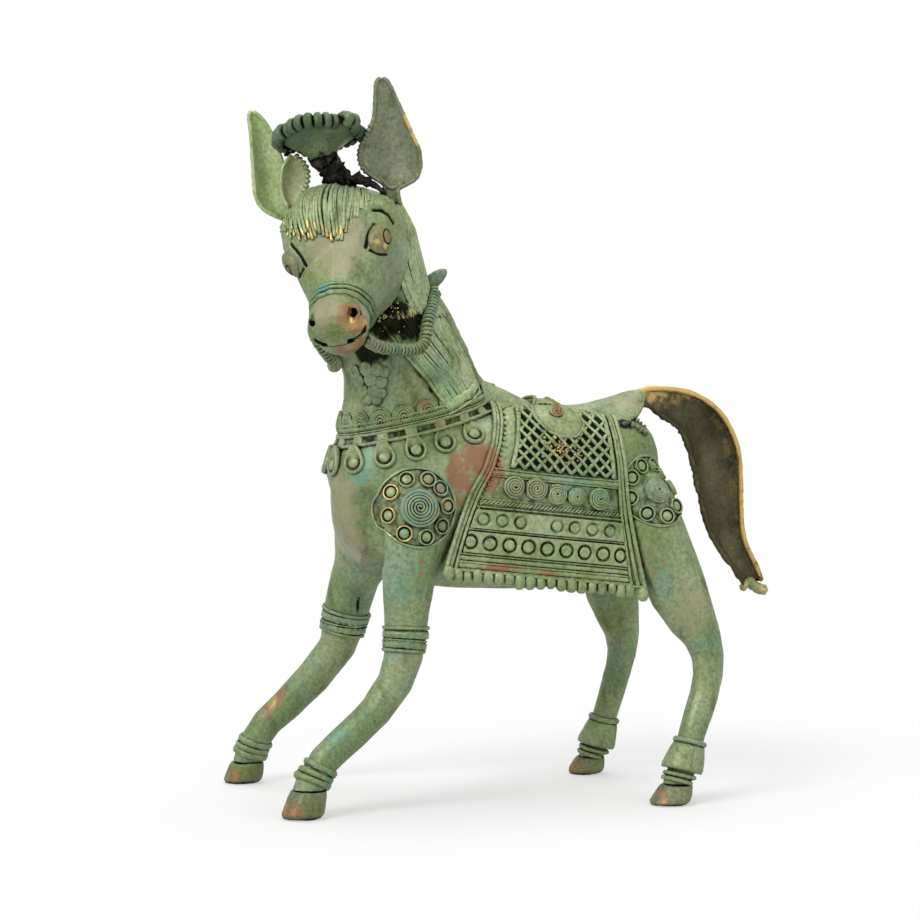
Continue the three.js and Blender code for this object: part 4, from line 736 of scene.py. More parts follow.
class Wax:
    """Rolled threads, coils, beads and plates pressed together before casting."""

    def __init__(self, seed):
        self.points = []
        self.faces = []
        self.stain = []
        self.soot_and_shade = []
        self.chance = np.random.default_rng(seed)

    def add(self, points, faces, stain, soot_and_shade=0.0):
        first = len(self.points)
        self.points.extend(tuple(p) for p in points)
        self.faces.extend(tuple(first + i for i in face) for face in faces)
        stain = np.asarray(stain, dtype=float)
        rows = stain if stain.ndim == 2 else np.tile(stain, (len(points), 1))
        self.stain.extend(tuple(row) for row in rows)
        self.soot_and_shade.extend([soot_and_shade] * len(points))

    def thread(self, line, radius, closed=False, sides=7, stain=PLAIN, wide=1.0, face=None, wobble=0.06):
        """A thread rolled along a line in metres; radius in millimetres, one or one for each point."""
        line = np.array([tuple(p) for p in line], dtype=float)
        count = len(line)
        thick = np.broadcast_to(np.asarray(radius, dtype=float), (count,)) * MM
        thick = thick * (1 + wobble * self.chance.standard_normal(count))
        if closed:
            along = unit(np.roll(line, -1, 0) - np.roll(line, 1, 0))
        else:
            along = unit(np.gradient(line, axis=0))
        if face is None:
            up = np.empty_like(line)
            last = np.array(square_axes(along[0])[1])
            for i, ahead in enumerate(along):
                last = unit(last - ahead * (last @ ahead))
                up[i] = last
        else:
            face = np.array([tuple(p) for p in face], dtype=float)
            up = unit(face - along * np.sum(face * along, axis=1, keepdims=True))
        across = np.cross(along, up)
        angles = np.array(turns_of(sides))[None, :, None]
        ring = across[:, None] * np.cos(angles) * wide + up[:, None] * np.sin(angles)
        points = (line[:, None] + ring * thick[:, None, None]).reshape(-1, 3)
        faces = []
        for i in range(count if closed else count - 1):
            for k in range(sides):
                a = i * sides + k
                b = i * sides + (k + 1) % sides
                shift = ((i + 1) % count - i) * sides
                faces.append((a, b, b + shift, a + shift))
        stain = np.asarray(stain, dtype=float)
        rows = np.repeat(stain, sides, 0) if stain.ndim == 2 else np.tile(stain, (len(points), 1))
        if not closed:
            tips = np.vstack((line[0] - along[0] * thick[0] * 0.7, line[-1] + along[-1] * thick[-1] * 0.7))
            first = len(points)
            points = np.vstack((points, tips))
            rows = np.vstack((rows, rows[0], rows[-1]))
            last = (count - 1) * sides
            for k in range(sides):
                faces.append(((k + 1) % sides, k, first))
                faces.append((last + k, last + (k + 1) % sides, first + 1))
        self.add(points, faces, rows)

    def lay(self, run, radius, **settings):
        """A thread laid along a run of places with the ways they face."""
        self.thread([at for at, _ in run], radius, face=[out for _, out in run], **settings)

    def bead(self, at, axes, halves, stain=PLAIN, sides=12, rows=8, square=1.0, soot_and_shade=0.0):
        """A bead with half sizes in millimetres along three axes."""
        a, b, c = np.array([tuple(axis) for axis in axes]) * (np.array(halves) * MM)[:, None]
        at = np.array(at)
        points = [at + c]
        for i in range(1, rows):
            fall = math.pi * i / rows
            reach = math.sin(fall) ** square
            for turn in turns_of(sides):
                points.append(at + (a * math.cos(turn) + b * math.sin(turn)) * reach + c * math.cos(fall))
        points.append(at - c)
        self.add(points, round_faces(rows - 1, sides), stain, soot_and_shade)

    def pellet(self, at, out, radius, high, stain):
        """A flat pellet pressed on to a face."""
        self.bead(at, square_axes(out), (radius, radius, high), stain, square=0.55)

    def ring(self, at, out, radius, thick, stain=PLAIN):
        """A thread closed to a ring on a face."""
        across, up, out = square_axes(out)
        at = Vector(at)
        line = [at + (across * math.cos(a) + up * math.sin(a)) * radius * MM for a in turns_of(26)]
        self.thread(line, thick, closed=True, stain=stain, face=[out] * len(line))

    def coil(self, at, out, radius, thick, turns, dome, stain=PLAIN, start=0.0):
        """A thread wound to a flat scroll, from its eye out."""
        across, up, out = square_axes(out)
        at = Vector(at)
        steps = int(turns * 22)
        line = []
        for i in range(steps + 1):
            share = i / steps
            a = start + 2 * math.pi * turns * share
            reach = (thick * 0.7 + (radius - thick * 1.7) * share) * MM
            rise = dome * (1 - share ** 2) * MM
            line.append(at + across * math.cos(a) * reach + up * math.sin(a) * reach + out * rise)
        self.thread(line, thick, stain=stain, face=[out] * (steps + 1))

    def plate(self, outer, inner, stain=PLAIN, soot_and_shade=0.0):
        """A closed plate between an outer and an inner grid of points, each rows by columns by 3."""
        outer = np.asarray(outer, dtype=float)
        inner = np.asarray(inner, dtype=float)
        tall, wide = outer.shape[:2]
        layer = tall * wide
        faces = []
        for i in range(tall - 1):
            for k in range(wide - 1):
                a = i * wide + k
                faces.append((a, a + 1, a + wide + 1, a + wide))
                faces.append((layer + a, layer + a + wide, layer + a + wide + 1, layer + a + 1))
        border = list(range(wide))
        border += [(i + 1) * wide - 1 for i in range(1, tall)]
        border += [(tall - 1) * wide + i for i in range(wide - 2, -1, -1)]
        border += [i * wide for i in range(tall - 2, 0, -1)]
        for a, b in zip(border, border[1:] + border[:1]):
            faces.append((b, a, layer + a, layer + b))
        stain = np.asarray(stain, dtype=float)
        rows = np.vstack((stain, stain)) if stain.ndim == 2 else stain
        self.add(np.vstack((outer.reshape(-1, 3), inner.reshape(-1, 3))), faces, rows, soot_and_shade)

    def mesh(self, name):
        made = bpy.data.meshes.new(name)
        made.from_pydata(self.points, [], self.faces)
        set_stain(made, self.stain)
        set_soot_and_shade(made, self.soot_and_shade)
        joined = bmesh.new()
        joined.from_mesh(made)
        bmesh.ops.remove_doubles(joined, verts=joined.verts, dist=1e-7)
        bmesh.ops.recalc_face_normals(joined, faces=joined.faces)
        joined.to_mesh(made)
        joined.free()
        return made


# A press starts so far outside a place and reaches so far in
PRESS_FROM = 0.035
PRESS_REACH = 0.12


def press(tree, place, out, lift):
    """The place on a skin straight under this one, lifted off it in millimetres, and the way it faces."""
    out = Vector(out).normalized()
    hit, facing, _, _ = tree.ray_cast(Vector(place) + out * PRESS_FROM, -out, PRESS_REACH)
    if hit is None:
        hit, facing, _, _ = tree.find_nearest(Vector(place))
    return hit + facing * lift * MM, facing


def pad(ground, high):
    """A soft pad; ground gives the place and the facing for a reach from 0 to 1 and a turn."""
    wax = Wax(21)
    turns = turns_of(56) + [0.0]
    top = []
    foot = []
    for share in np.linspace(0, 1, 20):
        under = [ground(share, a) for a in turns]
        rise = high * (1 - share ** 2.2) ** 0.6 - 0.25
        top.append([at + facing * rise * MM for at, facing in under])
        foot.append([at - facing * 1.2 * MM for at, facing in under])
    wax.plate(top, foot)
    return wax


def near_ground(share, a):
    """The near eye's ground: an upright oval in the photograph."""
    (x, y), (wide, tall) = NEAR_EYE["at"], NEAR_EYE["halves"]
    return seen_at(head_tree, (x + wide * share * math.cos(a), y - tall * share * math.sin(a)))


far_middle, far_out = head_tree.find_nearest(on_head(*FAR_EYE["at"]))[:2]
far_along = (HEAD_AHEAD - far_out * HEAD_AHEAD.dot(far_out)).normalized()
far_tall = far_out.cross(far_along)


def far_ground(share, a):
    """The far eye's ground: an oval on the other side of the face."""
    long, tall = FAR_EYE["halves"]
    place = far_middle + (far_along * long * math.cos(a) + far_tall * tall * math.sin(a)) * share * MM
    return press(head_tree, place, far_out, 0)


def oval(middle, halves, lean):
    """An upright oval of spots of the photograph."""
    (x, y), (wide, tall) = middle, halves
    turns = turns_of(30)
    return [(x + wide * math.cos(a) - lean * tall * math.sin(a), y - tall * math.sin(a)) for a in turns]


eye_brass = green_brass(
    "eye_brass", green=(0.205, 0.205, 0.092), sage=(0.29, 0.275, 0.145), deep=(0.11, 0.085, 0.035),
    yellow=0.3, blue=0.0, shift=4.1, folds=(1.6, 0.8, 0.4), wear=0.6)
near_eye = pad(near_ground, EYE_RISE).mesh("left_eye")
near_tree = tree_of(near_eye)
pupil = seen_line(near_tree, oval(NEAR_PUPIL["at"], NEAR_PUPIL["halves"], NEAR_PUPIL["lean"]))
pupil_middle = seen_at(near_tree, NEAR_PUPIL["at"])[0]
glints = [patch(place, 1.2, RUBBED, 1.0) for place in seen_line(near_tree, NEAR_GLINTS)]
# The pupil groove is darkened along its depth with painted shade.
set_soot_and_shade(near_eye, cut(near_eye, pupil + pupil[:1], 0.5, 0.55))
eye_middle = seen_at(near_tree, NEAR_EYE["at"])[0]
brown = [patch(pupil_middle, 1.4, RUST, 0.5), patch(eye_middle, 3.4, RUST, 0.35)]
set_stain(near_eye, stain_of(points_of(near_eye), brown + glints))
seat_piece("cast_left_eye", near_eye, eye_brass, "patina_brass", "left_eye")
far_eye = pad(far_ground, EYE_RISE + 0.9).mesh("right_eye")
far_tree = tree_of(far_eye)
pupil = []
for a in turns_of(24):
    place = far_middle + (far_along * (2.4 + 1.2 * math.cos(a)) + far_tall * 2.6 * math.sin(a)) * MM
    pupil.append(press(far_tree, place, far_out, 0)[0])
# The pupil groove is darkened along its depth with painted shade.
set_soot_and_shade(far_eye, cut(far_eye, pupil + pupil[:1], 0.5, 0.55))
seat_piece("cast_right_eye", far_eye, eye_brass, "patina_brass", "right_eye")


# Noseband: four wax threads laid round the root of the muzzle, with a row of tiny beads pressed on along
# the upper one. It lies low, where no hand rubs, so it has grown over with turquoise.
NOSEBAND_AT = 42.4
NOSEBAND_THREADS = ((-3.4, 0.7), (-1.7, 0.85), (0.2, 0.85), (2.0, 0.7))
NOSEBAND_BEADS = 24


def cast(node, wax, material, rough=(), stains=(), slot="patina_brass"):
    """A wax piece cast in place of the solid of its name; rough is what roughened needs for it."""
    mesh = wax.mesh(node)
    if rough:
        roughened(mesh, *rough)
    if stains:
        set_stain(mesh, stain_of(points_of(mesh), stains))
    seat_piece(f"cast_{node}", mesh, material, slot, node)
    return mesh


face_tree = tree_of(head_mesh, muzzle_mesh, lip_mesh)


def round_face(ahead, angle, lift):
    """A place on the face: so far ahead, and turned so far to the left from its top line."""
    out = HEAD_UP * math.cos(angle) + HEAD_LEFT * math.sin(angle)
    return press(face_tree, on_head(ahead, -1, 0), out, lift)


noseband = Wax(31)
for along, thick in NOSEBAND_THREADS:
    line = [round_face(NOSEBAND_AT + along, a, thick * 0.4)[0] for a in turns_of(64)]
    noseband.thread(line, thick, closed=True)
for a in turns_of(NOSEBAND_BEADS):
    at, out = round_face(NOSEBAND_AT - 4.3, a, 0.1)
    noseband.bead(at, square_axes(out), (0.75, 0.6, 0.5), sides=8, rows=6)
noseband_brass = green_brass("noseband_brass", yellow=0.1, blue=1.0, shift=5.2, folds=(1.2, 0.5, 0.2))
cast("noseband", noseband, noseband_brass)


# Ears: two leaves cut from wax sheet and cupped with a thumb, each with a rolled edge and a ribbed thread
# down the inner side. The right ear is folded, so its inner half stands forward as a second lobe.
EAR_WALL = 1.7
LEFT_EAR = {"root": (-8, 15, 17.5), "open": (0.7, 0.65, 0.2)}
RIGHT_EAR = {"root": (-4, 15, -20), "open": (0.62, 0.55, 0.5)}
# Outlines from the tip to the foot as the photograph shows them: left edge x and y, right edge x and y
LEFT_EAR_ROWS = (
    (379.5, 78, 383, 78), (376, 84, 388.5, 83), (375, 103, 396, 99), (373.5, 119, 406, 121),
    (367, 134, 413, 137), (361, 147, 418.5, 149), (359.5, 156, 420, 159), (362, 166, 420, 168),
    (369, 174, 416, 178), (378, 180, 407, 184), (385, 187, 398, 190), (383, 203, 400, 204))
RIGHT_EAR_ROWS = (
    (251, 111.5, 254, 111.5), (249.5, 117, 261, 117), (250.5, 126, 268, 126), (252, 140, 275, 140),
    (253.3, 163, 283, 163), (254.5, 182, 286, 182), (256.5, 197, 288, 198), (262.5, 207.5, 290, 208),
    (272, 214, 292, 214), (283, 219, 294, 219))
RIGHT_LOBE_ROWS = (
    (290, 156, 295, 157), (284, 163, 303, 165), (280.5, 172, 306, 173), (279.5, 184, 305, 185),
    (280.5, 194, 301, 194), (283.5, 201, 297, 201), (287, 207, 294, 207))
# Painted shade in the hollow low on the near ear's inner side, as spots
EAR_HOLLOW_SHADE = ((366, 146), (372, 163), (383, 176))
EAR_FOLDS = (((379, 176), (385, 183), (391, 188)), ((403, 182), (397, 186), (391, 188)))


def on_sheet(spot, place, front):
    """Where the line of sight through a spot of the photograph meets a flat sheet through a place."""
    way = sight(spot)
    return CAMERA_AT + way * ((place - CAMERA_AT).dot(front) / way.dot(front))


def leaf(wax, ear, rows, cup, forward=0.0, stain=PLAIN):
    """A cupped leaf of wax sheet; gives back its two edges."""
    place = on_head(*ear["root"])
    front = head_axes(*ear["open"]).normalized()
    table = smooth_line(rows, 2.4)
    broad = (table[:, 2] - table[:, 0]) / (table[:, 2] - table[:, 0]).max()
    face = []
    for row, width in zip(table, broad):
        line = []
        for share in np.linspace(-1, 1, 17):
            spot = row[:2] * (1 - share) / 2 + row[2:] * (1 + share) / 2
            ahead = forward - cup * width * (1 - share ** 2)
            line.append(on_sheet(spot, place, front) + front * ahead * MM)
        face.append(line)
    face = np.array(face)
    wall = np.array(front) * EAR_WALL * MM
    wax.plate(face, face - wall, stain)
    return face[:, 0] - wall / 2, face[:, -1] - wall / 2


def ribs(wax, line, thick, pitch):
    """A ribbed thread: short beads strung along a line."""
    marks = smooth_line(line, pitch * MM)
    for at, along in zip(marks, np.gradient(marks, axis=0)):
        wax.bead(at, square_axes(along), (thick, thick, pitch * 0.62), sides=8, rows=5)


left_ear = Wax(41)
inner, outer = leaf(left_ear, LEFT_EAR, LEFT_EAR_ROWS, 4.8)
share = np.linspace(0, 1, len(outer))
left_ear.thread(inner, 0.95)
worn = np.clip(share * 8 - 1.6, 0, 1) * np.clip(5 - share * 9, 0, 1) * 0.8
left_ear.thread(outer, 0.95, stain=np.outer(worn, RUBBED))
ribs(left_ear, inner[(share > 0.38) & (share < 0.72)], 1.4, 1.7)
left_face = tree_of(left_ear.mesh("left_face"))
for spots in EAR_FOLDS:
    left_ear.thread(smooth_line(seen_line(left_face, spots, 0.2), 0.8 * MM), 1.0)
right_ear = Wax(42)
inner, outer = leaf(right_ear, RIGHT_EAR, RIGHT_EAR_ROWS, 3.6)
right_ear.thread(inner, 0.9)
right_ear.thread(outer, 0.9)
inner, outer = leaf(right_ear, RIGHT_EAR, RIGHT_LOBE_ROWS, 2.4, forward=3.4, stain=(0, 0, 0, 0.55))
right_ear.thread(inner, 0.8)
ribs(right_ear, outer, 1.5, 1.8)
left_mesh = left_ear.mesh("left_ear")
# Painted shade in the ear's hollow.
ear_hollow_shade = [patch(place, reach, 0.34) for place, reach in zip(seen_line(left_face, EAR_HOLLOW_SHADE), (3, 4, 3.5))]
set_soot_and_shade(left_mesh, soot_and_shade_of(points_of(left_mesh), ear_hollow_shade))
grey_ear = green_brass(
    "grey_ear", green=(0.175, 0.210, 0.110), sage=(0.245, 0.265, 0.165), deep=(0.065, 0.070, 0.038),
    yellow=0.2, blue=0.1, shift=6.7, folds=(4, 0.6, 0.25), wear=0.4)
seat_piece("cast_left_ear", left_mesh, grey_ear, "patina_brass", "left_ear")
# The far ear is painted lighter and yellower, as light on it where the crest shades it.
yellow_ear_with_painted_light = green_brass(
    "yellow_ear_with_painted_light", green=(0.42, 0.53, 0.235), sage=(0.54, 0.61, 0.35), deep=(0.26, 0.32, 0.13),
    yellow=0.35, blue=0.1, shift=6.2, folds=(3, 0.5, 0.2), wear=0.3)
cast("right_ear", right_ear, yellow_ear_with_painted_light)


# Crest: a dish of petals on a flaring stalk between the ears. Each petal is a short strap bent over the rim.
# The metal ran badly here: the stalk is rough and black with burnt clay, and webs of it join the ears.
CREST_ROOT = on_head(-10, 19, 0)
CREST_TOP = on_head(-20, 41, -3.5)
CREST_LEAN = Vector((-0.3, -0.04, 0.95)).normalized()
CREST_PETALS = 27
STEM_GRAINS = 170
CREST_PETAL = ((9.5, 2.0), (13.4, 2.9), (16.4, 2.3), (17.6, 0.7), (17.0, -0.7), (15.6, -1.2))
CREST_DISH = ((0, 1.0), (6, 1.2), (11, 1.6), (15, 2.2), (16.4, 1.2), (15.4, -0.6), (12.5, -2.6), (8.5, -5.2),
              (5.6, -8.2), (4.6, -10), (0, -10))


def turned(wax, at, out, profile, steps, stain=PLAIN, upward=None, pull=0.0, pull_from=0.0):
    """A small solid turned about the line square to a face; its rim may be pulled up to a drop."""
    across, up, out = square_axes(out)
    if upward is not None:
        up = (upward - out * upward.dot(out)).normalized()
        across = up.cross(out)
    at = Vector(at)
    points = [at + out * profile[0][1] * MM]
    for reach, rise in profile[1:-1]:
        drawn = pull if reach > pull_from else 0.0
        for a in turns_of(steps):
            high = reach * math.cos(a) + max(0.0, math.cos(a)) ** 3 * drawn
            points.append(at + (up * high + across * reach * math.sin(a) + out * rise) * MM)
    points.append(at + out * profile[-1][1] * MM)
    wax.add(points, round_faces(len(profile) - 2, steps), stain)


crest = Wax(51)
turned(crest, CREST_TOP, CREST_LEAN, CREST_DISH, steps=48)
crest_across, crest_up, crest_out = square_axes(CREST_LEAN)
for a in turns_of(CREST_PETALS):
    radial = crest_across * math.cos(a) + crest_up * math.sin(a)
    long = 1 + 0.06 * crest.chance.standard_normal()
    strap = [CREST_TOP + (radial * reach * long + crest_out * rise) * MM for reach, rise in CREST_PETAL]
    crest.thread(smooth_line(strap, 0.9 * MM), 1.75 * long, sides=9, wobble=0.06)
crest_brass = green_brass(
    "crest_brass", green=(0.045, 0.105, 0.055), sage=(0.13, 0.175, 0.08), deep=(0.022, 0.034, 0.017),
    yellow=0.3, blue=0.15, shift=8.1, folds=(2.6, 0.82, 0.46), wear=0.6)
cast("crest_flower", crest, crest_brass)

stem = Wax(52)
stem_half = CREST_ROOT * 0.62 + CREST_TOP * 0.38
stem_line = smooth_line((CREST_ROOT, stem_half, CREST_TOP - CREST_LEAN * 8 * MM), 1.2 * MM)
stem_share = np.linspace(0, 1, len(stem_line))
stem_thick = 4.1 + 3.6 * (1 - stem_share) ** 3 + 1.6 * stem_share ** 2
stem.thread(stem_line, stem_thick, sides=16, wobble=0.08)
near_web = (stem_half, on_head(-10, 24, 6), on_head(-10, 21, 13))
far_foot = CREST_TOP - CREST_LEAN * 5 * MM - HEAD_LEFT * 7 * MM
far_web = (far_foot, on_head(-21, 36, -15), on_head(-21, 33, -21))
ear_web = (on_head(-11, 23, 8), on_head(-10, 19, 14), on_head(-8, 15, 18))
for web, thick in ((near_web, 2.6), (far_web, 2.0), (ear_web, 2.4)):
    web_line = smooth_line(web, 1.0 * MM)
    stem.thread(web_line, np.linspace(thick, thick * 0.35, len(web_line)), sides=10, wobble=0.2)
for _ in range(STEM_GRAINS):
    k = stem.chance.integers(len(stem_line))
    out = unit(stem.chance.normal(0, 1, 3))
    size = 0.5 + 0.7 * stem.chance.random(3)
    stem.bead(stem_line[k] + out * stem_thick[k] * MM, square_axes(out), size, sides=7, rows=5)
stem_bronze = green_brass(
    "stem_bronze", green=(0.010, 0.009, 0.008), sage=(0.024, 0.021, 0.017), deep=(0.005, 0.004, 0.004),
    yellow=0.02, blue=0.0, shift=9.3, folds=(2.2, 1.1, 0.8), wear=0.15, metal=0.0, bump=0.9)
cast("crest_stem", stem, stem_bronze, slot="dark_bronze")


# Forelock: fine wax threads laid side by side from the crest down over the brow, then trimmed. Their cut
# ends stand a little proud and a few are rubbed to bright brass.
FORELOCK_STRANDS = 110
FORELOCK_HALF_FAN = math.radians(70)
FORELOCK_THREAD = 0.44
# Where the strands end, across the fan from the far side to the near side: angle, distance ahead
FORELOCK_ENDS = ((-70, 0), (-50, 9), (-38, 15.5), (-25, 19.5), (-12, 18), (-2, 20), (9, 19.5), (14, 16),
                 (22, 9.5), (36, 3), (52, -2), (70, -7))
forelock = Wax(61)
for i in range(FORELOCK_STRANDS):
    fan = FORELOCK_HALF_FAN * (2 * i / (FORELOCK_STRANDS - 1) - 1)
    layer = i % 2
    end = np.interp(math.degrees(fan), *zip(*FORELOCK_ENDS)) - 2.5 * layer + forelock.chance.normal(0, 0.8)
    sway = forelock.chance.normal(0, 0.03)
    loose = forelock.chance.normal(0, 0.16)
    proud = np.interp(math.degrees(fan), (-70, -45, 8, 20, 34), (0.4, 1, 1, 0.3, 0))
    if forelock.chance.random() < 0.07:
        continue
    strand = []
    for t in np.linspace(0, 1, 9):
        ahead = -14 + (end + 14) * t
        angle = fan * (0.8 + 0.2 * t) + sway * math.sin(4 * t)
        out = HEAD_UP * math.cos(angle) + HEAD_LEFT * math.sin(angle) + HEAD_AHEAD * (ahead * 0.2 / 22)
        lift = (0.4 + 0.3 * layer + 0.45 * t ** 3) * proud - 0.3 + loose
        strand.append(press(head_tree, on_head(ahead * 0.8, 0, 0), out, lift)[0])
    line = smooth_line(strand, 0.9 * MM)
    tip = np.clip((np.linspace(0, 1, len(line)) - 0.86) / 0.1, 0, 1)
    gold = 0.85 if forelock.chance.random() > 0.5 and -0.8 < fan < 0.28 else 0.0
    thick = FORELOCK_THREAD * (1 + 0.4 * forelock.chance.random())
    forelock.thread(line, thick, stain=np.outer(tip * gold, RUBBED), sides=6, wide=1.35)
hair_brass = green_brass(
    "hair_brass", green=(0.29, 0.39, 0.175), sage=(0.41, 0.475, 0.26), yellow=0.35, blue=0.25, shift=3.3,
    folds=(1.1, 0.72, 0.34), wear=0.4)
cast("forelock", forelock, hair_brass, slot="worn_brass")


# Mane: on each side a pad of wax on the neck in two lengths, the upper lying over the lower, both combed
# into fine threads from the crest down. A flat strap closes the lower ends.
LEFT = 1
RIGHT = -1
SIDES = (("left", LEFT), ("right", RIGHT))
NECK = ((1.6, -41.4, 138), (1.6, -44.4, 158), (1.6, -47.9, 176), (4.6, -57.9, 197), (8.6, -66.9, 217),
        (11.6, -70.9, 233))
# The neck's back leans by so much; above its top the mane runs straight on to the poll
NECK_LEAN = 0.3
NECK_TOP = 210
NECK_RUN = Vector((0.16, -0.3, 1))
POLL_TOP = 252
MANE_THREAD = 0.5
# The hollow behind the jaw, black with clay: spot of the photograph, reach, strength
# The hollow is also darkened with painted shade.
MANE_SOOT_AND_SHADE = (((394, 322), 5.5, 1.0), ((410, 329), 5, 1.0), ((384, 306), 4.5, 1.0), ((420, 336), 3, 0.8),
             ((400, 310), 4.5, 0.9), ((378, 322), 4, 0.9), ((417, 320), 3.5, 0.8))
MANE_SPECKS = (376, 404, 300, 334)
# Each length: top, foot at the nape and at the front, turn of its front edge at the top and at the foot,
# thickness at the nape and at the front, share of it left at the foot, number of threads, gold on the tips
MANE_LENGTHS = (
    {"top": 250, "foot": (202.5, 202.5), "turns": (112, 104), "thick": (3.8, 4.0), "end": 1.1,
     "count": 64, "gold": 0.6},
    {"top": 206, "foot": (178, 166), "turns": (105, 70), "thick": (3.0, 2.4), "end": 0.2,
     "count": 58, "gold": 0.15})


def on_neck(tree, high, degrees, side, lift):
    """A place on the neck: height, and the turn from its back line to this side."""
    x, y = (np.interp(high, [row[2] for row in NECK], [row[k] for row in NECK]) for k in (0, 1))
    a = math.radians(degrees)
    return press(tree, Vector((x, y, high)) * MM, (side * math.sin(a), math.cos(a), 0.0), lift)


def rubbed_of(mesh):
    """How rubbed each point is."""
    return rows_of(mesh.attributes["stain"].data, "color", 4, np.float32)[:, 0]


def in_mane(length, side, across, t, low, cover, lift):
    """A place in a length of the mane: shares from nape to front, from top to foot, and of its thickness."""
    high = length["top"] + (low - length["top"]) * t
    degrees = across * (length["turns"][0] * (1 - t) + length["turns"][1] * t)
    thick = np.interp(across, (0, 1), length["thick"]) * (1 + (length["end"] - 1) * t ** 2)
    thick *= np.clip((POLL_TOP - high) / 14, 0.1, 1)
    a = math.radians(degrees)
    out = Vector((side * math.sin(a), math.cos(a), NECK_LEAN * math.cos(a))).normalized()
    over = max(high - NECK_TOP, 0)
    at = on_neck(body_tree, high - over, degrees, side, 0)[0] + NECK_RUN * over * MM
    return at + out * (thick * cover + lift) * MM


mane_brass = green_brass(
    "mane_brass", green=(0.35, 0.465, 0.215), sage=(0.48, 0.555, 0.31), yellow=0.35, blue=0.25, shift=3.3,
    folds=(1.1, 0.7, 0.32), wear=0.4)
for word, side in SIDES:
    mane = Wax(71 if side == LEFT else 72)
    for length in MANE_LENGTHS:
        sheets = []
        for cover, lift in ((1, -0.15), (0, -0.8)):
            sheets.append([[in_mane(length, side, s, t, np.interp(s, (0, 1), length["foot"]), cover, lift)
                            for s in np.linspace(0, 1, 40)] for t in np.linspace(0, 1, 36)])
        mane.plate(*sheets)
        for i in range(length["count"]):
            across = (i + 0.6 * mane.chance.random()) / length["count"]
            low = np.interp(across, (0, 1), length["foot"]) + mane.chance.normal(0, 0.8)
            wave = mane.chance.normal(0, 0.012)
            loose = 0.35 + 0.15 * mane.chance.normal()
            strand = []
            for t in np.linspace(0, 1, 12):
                strand.append(in_mane(length, side, across + wave * math.sin(4 * t), t, low, 1, loose))
            line = smooth_line(strand, 1.0 * MM)
            gold = length["gold"] * mane.chance.integers(0, 2) * (across > 0.55)
            tip = np.clip((np.linspace(0, 1, len(line)) - 0.88) / 0.1, 0, 1) * gold
            thick = MANE_THREAD * (1 + 0.4 * mane.chance.random())
            mane.thread(line, thick, stain=np.outer(tip, RUBBED), sides=6, wide=1.15)
    for drop, thick, wide in ((1.0, 0.95, 2.3), (4.0, 0.5, 1.0)):
        strap = []
        for degrees in np.linspace(4, 68, 20):
            foot = np.interp(degrees, (0, 70), MANE_LENGTHS[1]["foot"]) - drop
            strap.append(on_neck(body_tree, foot, degrees, side, 1.1))
        mane.lay(strap, thick, wide=wide, sides=10)
    if side == LEFT:
        combed_tree = tree_of(body_mesh, mane.mesh("combed"))
        mane_soot_and_shade = from_photo(combed_tree, MANE_SOOT_AND_SHADE)
        for i in range(18):
            spot = (mane.chance.uniform(*MANE_SPECKS[:2]), mane.chance.uniform(*MANE_SPECKS[2:]))
            at, out = seen_at(combed_tree, spot, 0.4)
            mane.bead(at, square_axes(out), 0.25 + 0.35 * mane.chance.random(3), RUBBED, sides=7, rows=5)
    mane_mesh = mane.mesh(f"{word}_mane")
    # Clay and painted shade in the jaw hollow
    set_soot_and_shade(mane_mesh, soot_and_shade_of(points_of(mane_mesh), mane_soot_and_shade) * (1 - rubbed_of(mane_mesh)))
    seat_piece(f"cast_{word}_mane", mane_mesh, mane_brass, "patina_brass", f"{word}_mane")


# Reins: thin wax thread wound tightly round a thicker one, from the corners of the mouth back to a blunt
# peg behind the neck, where both ends meet.
REIN_CORE = 1.95
REIN_WINDING = 0.92
REIN_PITCH = 1.9
LEFT_REIN = ((47.6, -74.9, 193), (41.6, -66.2, 190), (31.6, -48.9, 190), (25.6, -43.8, 201),
             (13.6, -37.4, 213))
RIGHT_REIN = ((33.6, -93.4, 195), (28.6, -87.4, 188), (21.6, -81.9, 183.5), (7.6, -79.4, 182.5),
              (-12.4, -72.4, 187), (-22.4, -51.4, 193), (-8.4, -36.4, 209))
PEG = ((5.6, -44.4, 211), (7.6, -38.2, 216.2), (9.6, -31.9, 221.5))


def wound_cord(wax, points, tan):
    """A cord wound with thread; its first stretch may be tan."""
    line = smooth_line(np.array(points) * MM, 0.25 * MM)
    wax.thread(line[::6], REIN_CORE, sides=10)
    along = unit(np.gradient(line, axis=0))
    up = np.array(square_axes(along[0])[1])
    winding = []
    for i, (at, ahead) in enumerate(zip(line, along)):
        up = unit(up - ahead * (up @ ahead))
        a = 2 * math.pi * i * 0.25 / REIN_PITCH
        winding.append(at + (up * math.cos(a) + np.cross(ahead, up) * math.sin(a)) * REIN_CORE * MM)
    share = np.clip(1 - np.arange(len(line)) / (tan * 4), 0, 1)
    wax.thread(winding, REIN_WINDING, sides=6, stain=np.outer(share, (0.1, 0.35, 0, 0.7)), wobble=0.03)


